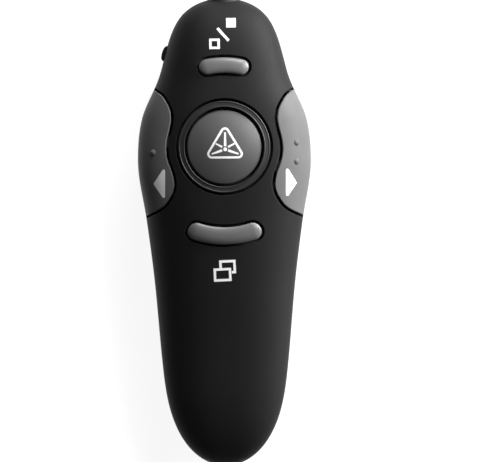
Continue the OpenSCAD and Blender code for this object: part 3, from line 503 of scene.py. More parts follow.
def rim(y_from, y_to, side, half):
    """Rows along the parting line, from one place to another: start, corner, rounding, inner rim."""
    ys = MID - HALF * np.cos(np.linspace(angle(y_from), angle(y_to), 600))
    ys[0], ys[-1] = y_from, y_to
    rows = []
    for y in along_line([(half_width(y) if TAIL < y < HEAD else 0, y) for y in ys], RIM_STEP)[:, 1]:
        y_start, y_in = max(y, TAIL + 0.012), inner_y(y, WALL)
        start = (top_at(y_start, PART + ROUND, side) if half is Top
                 else vec(side * belly_x(y_start, PART - ROUND), y_start, PART - ROUND))
        if y <= TAIL + 1e-6:
            # The tail's tip lies on the middle plane
            start[0] = 0.0
            rows.append((start, vec(0, y, PART), vec(0, y + ROUND, PART), vec(0, y_in, PART)))
            continue
        corner = vec(side * half_width(y), y, PART)
        rows.append((start, corner, corner + inward(y, side) * ROUND,
                     vec(side * half_width(y_in, WALL), y_in, PART)))
    return rows


# The wing keys' inner edge: distances from the laser key's centre, along Y and out from it
WING_EDGE = [(-17.34, 19.98), (-15.87, 16.69), (-12.8, 13.72), (-9.86, 12.68), (-7.15, 12.99), (-3, 14.4),
             (-0.6, 14.72), (1.7, 14.53), (5, 13.75), (7.35, 13.43), (9.84, 13.87), (11.64, 14.76),
             (13.34, 16), (14.6, 17.7)]
WING_GAP, WING_WALL, WING_LIFT, WING_ROUND, WING_STEPS = 0.6, 2.2, 0.8, 0.35, 160


def wing_line(e):
    """Points of the edge from tail to head, e nearer to the laser key, run out past the body's side."""
    t0, t1 = WING_EDGE[0][0], WING_EDGE[-1][0]
    line = []
    for k in range(WING_STEPS + 1):
        t = t0 + (t1 - t0) * k / WING_STEPS
        dx = (curve(WING_EDGE, t + 0.02) - curve(WING_EDGE, t - 0.02)) / 0.04
        line.append(vec(curve(WING_EDGE, t), LASER_Y + t) + unit([-1, dx]) * e)
    head, tail = unit(line[-1] - line[-2]), unit(line[0] - line[1])
    return [line[0] + tail * s for s in (4, 3, 2, 1)] + line + [line[-1] + head * s for s in (1, 2, 3, 4)]


def clipped(line, low):
    """The stretch of a wing line where the surface is higher than low, ends found exactly."""
    def is_high(p):
        return abs(p[0]) < half_width(p[1]) and top_z(p[0], p[1]) > low

    def end(p, beyond):
        return p + (beyond - p) * solve(lambda t: 1 if is_high(p + (beyond - p) * t) else -1, 0, 1)
    line = along_line(line, FINE_STEP)
    high = [is_high(p) for p in line]
    i0, i1 = high.index(True), len(high) - 1 - high[::-1].index(True)
    return [end(line[i0], line[i0 - 1])] + list(line[i0:i1 + 1]) + [end(line[i1], line[i1 + 1])]


def wing_cut(e, inset, low, thickness, r):
    """Rows along a cut on the wing line e; inset is where the rounding starts, low where the cut ends."""
    corner = along_line(clipped(wing_line(e), low), CUT_STEP)
    start = along_line(clipped(wing_line(e + inset), low + r), CUT_STEP)
    n = len(corner)
    start = along_line(start, np.linalg.norm(np.diff(start, axis=0), axis=1).sum() / (n - 1))[:n]
    c3 = [vec(x, y, max(low, top_z(x, y))) for x, y in corner]
    s3 = [vec(x, y, max(low + r, top_z(x, y))) for x, y in start]

    def cut_normal(c):
        i = int(np.argmin(np.linalg.norm(corner - c[:2], axis=1)))
        t = unit(corner[min(n - 1, i + 1)] - corner[max(0, i - 1)])
        return vec(t[1], -t[0], 0)
    e3, i3 = rounded(c3, cut_normal, r, Top), []
    for (x, y), e_point in zip(corner, e3):
        e_point[2] = max(low, e_point[2])
        x_in = min(x, top_at(y, low, 1, thickness)[0])
        i3.append(vec(x_in, y, max(low, top_z(x_in, y, thickness))))
    return list(zip(s3, c3, e3, i3))


def mirrored(rows):
    """The rows of the other side, so that they still run the same way round."""
    return [[p * (-1, 1, 1) for p in row] for row in rows][::-1]


def corner_y(rows, k):
    """The y of a row's sharp corner."""
    return rows[k][1][1]


def joined(*segments):
    """One closed list of rows from stretches that share their end points."""
    return [row for s in segments for row in s[:-1]]


# -------- the housing's top
NOSE_BORE, NOSE_STEPS = 4.35, 28
LEDGE_Z = top_z(GROOVE_R, LASER_Y) - 0.7
COLLAR_Z = LEDGE_Z - 1.9
COLLAR_IN, COLLAR_OUT = 10.65, 12.3


def on_end(x, z, d, head):
    """The point of the housing at an end with these x and z."""
    def f(y):
        if z >= PART:
            return 1 - (abs(x) / half_width(y, d)) ** TOP_N - ((z - PART) / rise(y, d)) ** TOP_N
        return belly_x(y, z, d) - abs(x) if PART - z < depth(y, d) else -1
    y = solve(f, 40, HEAD - d - 1e-4) if head else solve(f, TAIL + d + 1e-4, -30)
    return vec(x, y, z)


def nose_cut(half):
    """Rows round the nose bore: from the right over the top to the left, or from the left below it back."""
    s = 1 if half is Top else -1
    lean = math.asin(ROUND / (NOSE_BORE + ROUND))

    def on_circle(r, a):
        return on_end(s * r * math.cos(a), PART + s * r * math.sin(a), 0, True)
    rows = []
    for k in range(NOSE_STEPS + 1):
        start = on_circle(NOSE_BORE + ROUND, lean + (math.pi - 2 * lean) * k / NOSE_STEPS)
        corner = on_circle(NOSE_BORE, math.pi * k / NOSE_STEPS)
        rows.append((start, corner, corner - (0, ROUND, 0), on_end(corner[0], corner[2], WALL, True)))
    return rows


KNOB_Y, KNOB_Z, KNOB_LENGTH, KNOB_OUT, KNOB_H, KNOB_TRAVEL = HEAD - 14, PART + 1.3, 4.0, 0.9, 2.2, 2.0
KNOB_TURN = math.atan(half_width(KNOB_Y + 0.5) - half_width(KNOB_Y - 0.5))
NOTCH_Y = (KNOB_Y - (KNOB_LENGTH / 2 + KNOB_TRAVEL + 0.2) * math.cos(KNOB_TURN),
           KNOB_Y + (KNOB_LENGTH / 2 + 0.2) * math.cos(KNOB_TURN))
NOTCH_TOP = KNOB_Z + KNOB_H / 2 + 0.2
NOTCH_SKEW, NOTCH_STEP = 0.6, 0.3


def notch_cut():
    """Rows round the power switch's notch in the left wall, from its head end to its tail end."""
    (y0, y1), z1 = NOTCH_Y, NOTCH_TOP
    rows = []
    for y, z in along_line([(y1, PART), (y1, z1), (y0, z1), (y0, PART)], NOTCH_STEP):
        share = (y1 - y) / (y1 - y0)
        start = top_at(y1 + ROUND - share * (y1 - y0 + 2 * ROUND), z + ROUND, -1)
        corner = top_at(y, z, -1)
        # The knob's ends stand square to the wall, so the notch's inner edge lies further to the tail
        inner = top_at(y - NOTCH_SKEW * share, z, -1, WALL)
        into = unit([PROBE, half_width(y + PROBE) - half_width(y), 0])
        rows.append((start, corner, corner + into * ROUND, inner))
    return rows


def stadium(length, width, e, caps=10, bars=14):
    """A slot's outline, e inside its edge, anticlockwise from the right."""
    r, reach = width / 2 - e, length / 2 - width / 2

    def cap(x, first, last):
        return [(x + r * math.cos(math.pi / 2 / caps * k), r * math.sin(math.pi / 2 / caps * k))
                for k in range(first, last)]
    top = [(reach * (1 - 2 * k / bars), r) for k in range(1, bars)]
    low = [(-x, -y) for x, y in top]
    return (cap(reach, 0, caps + 1) + top + cap(-reach, caps, 3 * caps + 1)
            + low + cap(reach, 3 * caps, 4 * caps))


# Length, width, radius of the bend, and side of the laser key
BARS = {"black_screen_button": (12.6, 4.0, 20.6, 1), "full_screen_button": (18.9, 4.4, 22.5, -1)}
BAR_GAP = 0.6


def bar_outline(name, e):
    """A bar key's outline, e inside its edge: a slot bent round the laser key."""
    length, width, arc_r, side = BARS[name]
    polar = [(arc_r + y, side * x / arc_r) for x, y in stadium(length, width, e)]
    return [(r * math.sin(a), LASER_Y + side * r * math.cos(a)) for r, a in polar]


def bar_cut(name):
    """Rows round a bar key's opening."""
    rows = []
    for s, c in zip(bar_outline(name, -BAR_GAP - ROUND), bar_outline(name, -BAR_GAP)):
        z = top_z(*c)
        rows.append((vec(*s, top_z(*s)), vec(*c, z), vec(*c, z - ROUND), vec(*c, top_z(*c, WALL))))
    return rows[::-1]


def ring_cut():
    """Rows round the laser key's opening: the trim ring's groove, its ledge, and the collar under it."""
    rows = []
    for a in turns(150):
        def at(q, z=None, d=0.0):
            x, y = q * math.cos(a), LASER_Y - q * math.sin(a)
            return vec(x, y, top_z(x, y, d) if z is None else z)
        corner = at(GROOVE_R)
        rows.append((at(GROOVE_R + ROUND), corner, corner - (0, 0, ROUND), at(GROOVE_R, LEDGE_Z),
                     at(COLLAR_IN, LEDGE_Z), at(COLLAR_IN, COLLAR_Z), at(COLLAR_OUT, COLLAR_Z),
                     at(COLLAR_OUT, d=WALL)))
    return rows


def top_housing():
    wing, nose = wing_cut(WING_GAP, ROUND, PART, WALL, ROUND), nose_cut(Top)
    y_tail, y_head, y_nose = corner_y(wing, 0), corner_y(wing, -1), corner_y(nose, 0)
    outer = joined(
        rim(TAIL, y_tail, 1, Top), wing, rim(y_head, y_nose, 1, Top), nose,
        rim(y_nose, NOTCH_Y[1], -1, Top), notch_cut(), rim(NOTCH_Y[0], y_head, -1, Top),
        mirrored(wing), rim(y_tail, TAIL, -1, Top))
    cuts = [outer, ring_cut()] + [bar_cut(name) for name in BARS]
    obj = skin("upper_housing", Top, [Edge(cut, Top) for cut in cuts], WALL)
    # The wall's inside stays above the notch, where the knob runs
    for v in obj.data.vertices:
        x, y, z = v.co / MM
        if x < 0 and NOTCH_Y[0] + 0.1 < y < NOTCH_Y[1] - 0.4 and z < NOTCH_TOP - 1e-3:
            v.co.z = NOTCH_TOP * MM
    return obj


# -------- the housing's belly and its cover
COVER_Z, DECK_Z, COVER_Y = 4.0, 4.02, 16.0
MOUTH_X, MOUTH_Z, MOUTH_DEEP, MOUTH_LEAN = 7.2, 5.15, 7, 1.5


def mouth_cut():
    """Rows round the receiver's mouth in the tail, from the right rim to the left one."""
    def outline(x, low, high, step):
        return along_line([(x, high), (x, low), (-x, low), (-x, high)], step)
    path = outline(MOUTH_X, MOUTH_Z, PART, CORNER_STEP)
    wide = outline(MOUTH_X + ROUND, MOUTH_Z - ROUND, PART - ROUND, FINE_STEP)
    wide = wide[np.round(np.linspace(0, len(wide) - 1, len(path))).astype(int)]
    s3, c3, i3 = [[on_end(*p, d, False) for p in line] for line, d in ((wide, 0), (path, 0), (path, WALL))]

    def cut_normal(c):
        side = abs(c[0]) > MOUTH_X - ROUND and c[2] > MOUTH_Z + ROUND
        return vec(side, 0, not side)
    return list(zip(s3, c3, rounded(c3, cut_normal, ROUND, Belly), i3))


def tail_end_at(z, d=0.0):
    return solve(lambda y: depth(y, d) - (PART - z), TAIL + d + 1e-4, -38)


def belly_path(z, y_front, spacing=CUT_STEP):
    """Closed line on the belly, at height z along the sides and at y_front across, clockwise seen from below.
    Gives its points from the right side's tail end, and how many lie on the side and on the front."""
    y_tail = tail_end_at(z)
    ys = y_tail + (y_front - y_tail) * np.linspace(0, 1, 1200) ** 2
    right = along_line([(belly_x(y, z), y, z) for y in ys], spacing)
    u0 = Belly.uv((belly_x(y_front, z), y_front, z))[0]
    front = along_line([Belly.at(u, y_front) for u in np.linspace(u0, -u0, 1500)], spacing)
    x_tail = BELLY_FLAT * half_width(y_tail)
    tail = along_line([(-x_tail, y_tail, z), (x_tail, y_tail, z)], spacing)
    left = right[::-1] * (-1, 1, 1)
    return np.concatenate([right[:-1], front[:-1], left[:-1], tail[:-1]]), len(right) - 1, len(front) - 1


def cover_cut(z, y_front, out):
    """Rows along that line; out is 1 where the surface lies outside it and -1 where it lies inside."""
    corner, n_side, n_front = belly_path(z, y_front)
    start = belly_path(z + out * ROUND, y_front + out * ROUND, FINE_STEP)[0]
    tree = tree_of(start)
    y_in_tail = tail_end_at(z, WALL)
    rows = []
    for k, c in enumerate(corner):
        at_end = k in (n_side, n_side + n_front)
        at_front = n_side <= k <= n_side + n_front
        aim = c + out * ROUND * vec(0, at_front, at_end or not at_front)
        if at_end:
            i = vec(math.copysign(belly_x(c[1], z, WALL), c[0]), c[1], z)
        elif at_front:
            i = Belly.inner(c, WALL)
            i[2] = min(i[2], z)
        else:
            y = max(inner_y(c[1], WALL), y_in_tail + 1e-3)
            share = min(1.0, abs(c[0]) / belly_x(c[1], z))
            i = vec(math.copysign(share * belly_x(y, z, WALL), c[0]), y, z)
        rows.append([start[tree.find(aim)[1]], c, None, i])

    def cut_normal(c):
        front = abs(c[1] - y_front) < 1e-4 and c[2] < z - 1e-3
        return vec(0, front, not front)
    for row, e in zip(rows, rounded(corner, cut_normal, ROUND, Belly, closed=True)):
        row[2] = e
    return rows if out > 0 else rows[::-1]


def grip_cut(k):
    """Rows round a shallow groove across the cover for the thumb."""
    r, deep, draft = 0.15, 0.35, 0.12
    y, half = COVER_Y - 12 + 2 * k, 6 - abs(k)
    start, corner, foot = [[(x, y + q) for x, q in stadium(2 * half, 1.0, e, 5, 8)] for e in (-r, 0, draft)]
    return [(vec(*s, 0), vec(*c, 0), vec(*c, r), vec(*f, deep)) for s, c, f in zip(start, corner, foot)]


def lower_housing():
    nose, mouth = nose_cut(Belly), mouth_cut()
    outer = joined(rim(corner_y(mouth, -1), corner_y(nose, 0), -1, Belly), nose,
                   rim(corner_y(nose, -1), corner_y(mouth, 0), 1, Belly), mouth)
    cuts = [outer, cover_cut(DECK_Z, COVER_Y + 0.02, 1)]
    obj = skin("lower_housing", Belly, [Edge(cut, Belly) for cut in cuts], WALL)
    # The wall's inside leans over the mouth at its corners: it is drawn back to the mouth's own sides
    for v in obj.data.vertices:
        x, y, z = v.co / MM
        if y < TAIL + MOUTH_DEEP and abs(x) < MOUTH_X - 1e-3 and z > MOUTH_Z + 1e-3:
            if abs(x) > MOUTH_X - MOUTH_LEAN or MOUTH_X - abs(x) < z - MOUTH_Z:
                v.co.x = math.copysign(MOUTH_X, x) * MM
            else:
                v.co.z = MOUTH_Z * MM
    return obj


def cover():
    edges = [Edge(cover_cut(COVER_Z, COVER_Y, -1), Belly)]
    edges += [Edge(grip_cut(k), Belly, cap=True) for k in range(-2, 3)]
    return skin("battery_lid", Belly, edges, WALL)


# -------- the wing keys
def wing_key(name, side):
    """The right key, or its mirror image on the left."""
    low, r = PART + WING_LIFT, WING_ROUND
    line = wing_cut(0, -r, low, WING_WALL, r)
    (start0, corner0), (start1, corner1) = [[p[1] for p in line[k][:2]] for k in (0, -1)]
    ys = along_line([(top_at(y, low, 1)[0], y) for y in np.linspace(corner0, corner1, 400)], 0.6)[:, 1]
    foot = []
    for y, y_start in zip(ys, np.linspace(start0, start1, len(ys))):
        c = top_at(y, low, 1)
        foot.append((top_at(y_start, low + r, 1), c, c + inward(y, 1) * r, top_at(y, low, 1, WING_WALL)))
    rows = joined(foot, line[::-1])
    return skin(name, Top, [Edge(rows, Top)], WING_WALL, step=1.0, mirror=side < 0)


# -------- turned and lofted pieces
def loft(name, loops, closed=False, sharp=35, pairs=None):
    """Closed loops of equal length joined one to the next, anticlockwise seen from the last one's side.
    A closed loft runs back to its first loop; an open one is filled at both ends about their middles, or
    at the last one across its pairs of points."""
    n, m = len(loops[0]), len(loops)
    verts = [tuple(p) for loop in loops for p in loop]
    faces = []
    for k in range(m if closed else m - 1):
        a, b = k * n, (k + 1) % m * n
        faces += [[a + i, a + (i + 1) % n, b + (i + 1) % n, b + i] for i in range(n)]
    top = (m - 1) * n
    if pairs:
        for i in range(n):
            j = (i + 1) % n
            if i < pairs[i] and j < pairs[j]:
                faces.append([top + i, top + j, top + pairs[j], top + pairs[i]])
    if not closed:
        for start, turn in ((0, -1), (top, 1))[:1 if pairs else 2]:
            middle = len(verts)
            verts.append(tuple(np.mean(verts[start:start + n], axis=0)))
            faces += [[start + i, start + (i + 1) % n, middle][::turn] for i in range(n)]
    return smooth_object(name, verts, faces, sharp=sharp)


def about_laser(n, q, z):
    """A circle of n points about the laser key's axis; z is a height or a function of (x, y)."""
    places = [(q * math.cos(a), LASER_Y + q * math.sin(a)) for a in turns(n)]
    return [(x, y, z(x, y) if callable(z) else z) for x, y in places]


DOME_R, DOME_LOW, KEY_ROUND = 30.0, 0.03, 0.5
KEY_EDGE_Z = top_z(RING_IN, LASER_Y) - 0.1
DOME_TOP = KEY_EDGE_Z + DOME_R - math.sqrt(DOME_R ** 2 - LASER_R ** 2)
FLANGE_TOP = COLLAR_Z - 0.3
PLUNGER_TOP = 18.9
DOME_CENTRE = DOME_TOP - DOME_LOW - DOME_R


def dome_z(x, y):
    return DOME_CENTRE + math.sqrt(DOME_R ** 2 - x * x - (y - LASER_Y) ** 2)


def laser_key():
    """Domed cap with a softly rounded edge, a skirt, and the flange that stops under the collar."""
    r = KEY_ROUND
    lean = math.asin((LASER_R - r) / (DOME_R - r))
    cx, cz = LASER_R - r, DOME_CENTRE + (DOME_R - r) * math.cos(lean)
    dome = [(q, dome_z(q, LASER_Y)) for q in (DOME_R * math.sin(lean * k / 16) for k in range(1, 16))]
    edge = [(cx + r * math.cos(a), cz + r * math.sin(a)) for a in np.linspace(math.pi / 2 - lean, 0, 11)]
    flange_r, skirt_r, post_r = LASER_R + 1.6, LASER_R - 1.2, 1.6
    foot, roof = FLANGE_TOP - 0.8, KEY_EDGE_Z - 1.2
    under = [(LASER_R, FLANGE_TOP), (flange_r, FLANGE_TOP), (flange_r, foot), (skirt_r, foot),
             (skirt_r, roof), (post_r, roof), (post_r, PLUNGER_TOP + 0.05)]
    return loft("laser_key", [about_laser(144, q, z) for q, z in (dome + edge + under)[::-1]], sharp=30)


def trim_ring():
    """Flat ring with two fine bevelled lips; its top follows the housing's surface."""
    up, lip, dip, r = 0.22, 0.28, 0.12, 0.16
    foot, q_in = LEDGE_Z - 1.4, 10.6
    sides = [(q_in, foot), (q_in, LEDGE_Z), (RING_OUT, LEDGE_Z)]
    bends = [(r - r * math.cos(t), up - r + r * math.sin(t)) for t in (0.4, 0.8, 1.2, 1.57)]
    over = [(RING_OUT, up - r)] + [(RING_OUT - q, h) for q, h in bends]
    over += [(RING_OUT - lip, up - 0.02), (RING_OUT - lip - 0.1, up - dip),
             ((RING_IN + RING_OUT) / 2, up - dip),
             (RING_IN + lip + 0.1, up - dip), (RING_IN + lip, up - 0.02)]
    over += [(RING_IN + q, h) for q, h in bends[::-1]] + [(RING_IN, up - r)]
    section = [about_laser(240, q, z) for q, z in sides]
    section += [about_laser(240, q, lambda x, y: top_z(x, y) + h) for q, h in over]
    return loft("trim_ring", section + [about_laser(240, RING_IN, foot)], closed=True, sharp=30)


CROWN, BAR_EDGE_UP, BAR_SOFT, BAR_STEPS, BAR_FLANGE = 0.85, -0.05, 0.8, 14, 0.8


def bar_key(name):
    """Pillowed cap that follows the housing, over a straight skirt and a flange."""
    length, width = BARS[name][:2]
    reach, flange = width / 2 - 0.1, -BAR_GAP - 0.6
    low = min(top_z(*p, WALL) for p in bar_outline(name, -BAR_GAP)) - 0.3
    loops = [[(*p, z) for p in bar_outline(name, e)]
             for e, z in ((flange, low - BAR_FLANGE), (flange, low), (0, low))]
    rises, crown = [(0, BAR_EDGE_UP - 0.5)], CROWN - BAR_EDGE_UP
    for t in (math.pi / 2 * k / BAR_STEPS for k in range(BAR_STEPS + 1)):
        rises.append((reach * (1 - math.cos(t)), BAR_EDGE_UP + crown * math.sin(t) ** BAR_SOFT))
    loops += [[(*p, top_z(*p) + h) for p in bar_outline(name, e)] for e, h in rises]
    flat = stadium(length, width, reach)
    pairs = [min(range(len(flat)), key=lambda j: abs(x - flat[j][0]) + abs(y + flat[j][1])) for x, y in flat]
    return loft(name.replace("_button", "_key"), loops, sharp=40, pairs=pairs)


KNOB_POINTS, RIB_PITCH, RIB_DEEP, RIBBED, KNOB_IN = 48, 0.75, 0.07, 0.6, WALL + 0.8


def switch_knob():
    """The power switch's thumb piece: a soft bump with rounded edges and three fine ribs."""
    def outline(e):
        half, out = KNOB_LENGTH / 2 - e, KNOB_OUT - e
        pts = [(-half, -KNOB_IN)]
        for k in range(KNOB_POINTS + 1):
            u = math.cos(math.pi * k / KNOB_POINTS)
            wave = max(0.0, math.cos(math.pi * u * KNOB_LENGTH / RIB_PITCH)) if abs(u) < RIBBED else 0
            high = (1 - abs(u) ** 2.2) ** 0.6 if u > 0 else (1 - abs(u) ** 3) ** 0.45
            pts.append((-u * half, out * high - RIB_DEEP * wave ** 2))
        return pts + [(half, -KNOB_IN)]

    def at(x, out, z):
        """From the switch's frame: x along the wall to the tail, out from it."""
        c, s = math.cos(KNOB_TURN), math.sin(KNOB_TURN)
        return (-half_width(KNOB_Y) + s * x - c * out, KNOB_Y - c * x - s * out, KNOB_Z + z)
    r, h = 0.3, KNOB_H / 2 - 0.02
    levels = [(r * (1 - math.sin(a)), -h + r * (1 - math.cos(a))) for a in np.linspace(0, math.pi / 2, 6)]
    levels += [(e, -z) for e, z in levels[::-1]]
    return loft("switch_knob", [[at(x, o, z) for x, o in outline(e)][::-1] for e, z in levels], sharp=40)


def tactile_dot(name, x, y):
    """A low cap set into the key's surface."""
    r, high, sink = 0.8, 0.42, 0.25
    n = surface_normal(Top, *Top.uv((x, y)))
    a = unit(np.cross(n, [0, 1, 0]))
    b = np.cross(n, a)
    base = vec(x, y, top_z(x, y))
    big = (r * r + high * high) / (2 * high)
    rings = [(r * 1.02, -sink)]
    for k in range(8):
        s = math.asin(r / big) * (1 - k / 8)
        rings.append((big * math.sin(s), big * math.cos(s) - (big - high)))
    loops = [[base + (a * math.cos(t) + b * math.sin(t)) * q + n * h for t in turns(32)] for q, h in rings]
    return loft(name, loops, sharp=60)


# -------- prints
INK_STEP, INK_SIDE, INK_CLEAR, INK_SINK = 0.45, 0.25, 0.2, 0.06


def dense(loop):
    """A closed loop with more points on its long sides, its corners kept."""
    sides = zip(loop, list(loop[1:]) + [loop[0]])
    return np.concatenate([along_line([a, b], INK_SIDE)[:-1] for a, b in sides])


def decal(name, surface_z, outlines, lift=0.03):
    """A thin print on a surface: each shape is an outer line with its holes, all in (x, y)."""
    verts, faces = [], []
    for loops in outlines:
        loops = [dense(loop) for loop in loops]
        lo, hi = loops[0].min(0), loops[0].max(0)
        grid = np.array([(x, y) for x in np.arange(lo[0], hi[0], INK_STEP)
                         for y in np.arange(lo[1], hi[1], INK_STEP)])
        points, tris = triangulated(name, loops, grid, INK_CLEAR)
        base, n = len(verts), len(points)
        for h in (lift, -INK_SINK):
            verts += [(x, y, surface_z(x, y) + h) for x, y in points]
        faces += [[base + i for i in t] for t in tris]
        faces += [[base + n + i for i in t][::-1] for t in tris]
        start = base
        for loop in loops:
            area = sum(a[0] * b[1] - b[0] * a[1] for a, b in zip(loop, np.roll(loop, -1, axis=0)))
            for i in range(len(loop)):
                a, b = start + i, start + (i + 1) % len(loop)
                if (area > 0) != (loop is loops[0]):
                    a, b = b, a
                faces.append([b, a, n + a, n + b])
            start += len(loop)
    return smooth_object(name, verts, faces, sharp=50)


# Millimetres to a pixel of the photograph, and the body's axis in it: its x at one y, its lean, its head's y
SCALE, AXIS_X, AXIS_Y, AXIS_LEAN, HEAD_PIXEL = 0.25348, 224.45, 146, 0.00405, -2


def at_pixel(px, py):
    """Where a place in the photograph lies in the frame."""
    axis = AXIS_X + (py - AXIS_Y) * AXIS_LEAN
    return ((px - axis) * SCALE, HEAD - (py - HEAD_PIXEL) * SCALE)


def around(points, angle_deg, centre):
    """Points turned about a centre."""
    c, s = math.cos(math.radians(angle_deg)), math.sin(math.radians(angle_deg))
    return [(centre[0] + (x - centre[0]) * c - (y - centre[1]) * s,
             centre[1] + (x - centre[0]) * s + (y - centre[1]) * c) for x, y in points]


def oblong(c, w, h):
    """A box about c, w by h pixels."""
    w, h = w * SCALE / 2, h * SCALE / 2
    return [(c[0] - w, c[1] - h), (c[0] + w, c[1] - h), (c[0] + w, c[1] + h), (c[0] - w, c[1] + h)]


def stroke(a, b, wa, wb):
    """A bar from pixel a to pixel b, wa pixels wide at a and wb at b."""
    a, b = vec(*at_pixel(*a)), vec(*at_pixel(*b))
    t = unit(b - a)
    n = vec(-t[1], t[0]) * SCALE / 2
    return [tuple(a - n * wa), tuple(b - n * wb), tuple(b + n * wb), tuple(a + n * wa)]


def softened(points, r, steps=6):
    """A polygon with rounded corners."""
    points = [vec(*p) for p in points]
    out = []
    for i, p in enumerate(points):
        a, b = unit(points[i - 1] - p), unit(points[(i + 1) % len(points)] - p)
        half = math.acos(clamp(a @ b, -1, 1)) / 2
        centre = p + unit(a + b) * r / math.sin(half)
        back, turn = r / math.tan(half), math.pi - 2 * half
        p0, p1 = p + a * back - centre, p + b * back - centre
        for k in range(steps + 1):
            t = k / steps
            q = (p0 * math.sin((1 - t) * turn) + p1 * math.sin(t * turn)) / max(1e-9, math.sin(turn))
            out.append(tuple(centre + unit(q) * r))
    return out


def prints():
    """White pictograms: black screen, full screen, laser and the two arrows, each with its body."""
    solid = around(oblong(at_pixel(231.25, 23.2), 9.5, 9.3), 1.0, at_pixel(231.2, 23))
    c = at_pixel(214.8, 44.3)
    hollow = [around(oblong(c, w, h), 1.0, c) for w, h in ((10.5, 10.4), (5.8, 5.7))]
    slash = stroke((217.7, 28.7), (228.8, 41.2), 2.6, 2.6)
    yield "housing", decal("print_black_screen", top_z, [[solid], hollow, [slash]])

    back, front = at_pixel(227.65, 266.65), at_pixel(222.6, 274.5)
    front_frame = [around(oblong(front, w, h), 2.5, front) for w, h in ((17.6, 13.3), (12.8, 8.3))]
    # The back frame shows as a bent band: along its top and right side, and down to the front frame
    band = [(-8.2, 6.8), (-8.2, -1.2), (-5.7, -1.2), (-5.7, 4.3), (5.7, 4.3), (5.7, -4.3), (3.9, -4.3),
            (3.9, -6.8), (8.2, -6.8), (8.2, 6.8)]
    band = around([(back[0] + x * SCALE, back[1] + y * SCALE) for x, y in band], 2.5, back)
    yield "housing", decal("print_full_screen", top_z, [front_frame, [band]])

    corners = np.array([at_pixel(203.9, 158.7), at_pixel(246.5, 158.7), at_pixel(225.1, 123.4)])
    middle = corners.mean(0)
    rim_lines = [softened(corners, 1.15), softened(middle + (corners - middle) * 0.82, 0.6)]
    hub = at_pixel(225.4, 149.5)
    hub_dot = [(hub[0] + 2.0 * SCALE * math.cos(t), hub[1] + 2.0 * SCALE * math.sin(t)) for t in turns(24)]
    rays = [stroke((225.2, 132.6), (225.3, 146.6), 1.6, 2.7)]
    for m in (-1, 1):
        rays.append(stroke((225.3 + m * 9.3, 143.9), (225.3 + m * 2.9, 147.3), 1.4, 2.1))
        rays.append(stroke((225.3 + m * 13.4, 154.2), (225.3 + m * 3.0, 150.6), 1.5, 2.7))
    shapes = [rim_lines, [hub_dot]] + [[ray] for ray in rays]
    yield "laser_button", decal("print_laser", dome_z, shapes, lift=0.02)

    for way, arrow in (("previous", [(153.6, 183.6), (165.4, 201.0), (165.4, 166.0)]),
                       ("next", [(285.9, 165.4), (285.9, 199.4), (296.8, 183.2)])):
        shape = softened([at_pixel(*p) for p in arrow], 0.36)
        yield way + "_key", decal("print_" + way, top_z, [[shape]], lift=0.05)


# -------- what lies inside the housing, the cover and the keys
SECTIONS, OVER_STEPS, UNDER_STEPS = 60, 40, 10


def whole_body(d):
    """Closed solid of the whole housing's surface, d inside it."""
    loops = []
    for k in range(1, SECTIONS):
        y = MID - (HALF - d) * math.cos(math.pi * k / SECTIONS)
        w, h, low = half_width(y, d), rise(y, d), depth(y, d)
        loop = []
        for x, z in (polar(math.pi * j / OVER_STEPS, TOP_N) for j in range(OVER_STEPS + 1)):
            loop.append((w * x, y, PART + h * z))
        under = [polar(math.pi / 2 * j / UNDER_STEPS, BELLY_N) for j in range(1, UNDER_STEPS + 1)]
        loop += [(-w * past_flat(x), y, PART - low * z) for x, z in under]
        loop += [(w * past_flat(x), y, PART - low * z) for x, z in under[::-1]]
        loops.append(loop[::-1])
    return loft("body_core", loops)


def inside_of(name, node, core):
    """The ribs, hooks and floors of a CAD node: what of it lies in the core, without its outer skin."""
    obj = linked(name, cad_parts[node].data.copy())
    mod = obj.modifiers.new("inside", "BOOLEAN")
    mod.operation, mod.object, mod.solver = "INTERSECT", core, "EXACT"
    bpy.context.view_layer.update()
    made = bpy.data.meshes.new_from_object(obj.evaluated_get(bpy.context.evaluated_depsgraph_get()))
    obj.modifiers.clear()
    obj.data = made
    made.name = name
    return obj


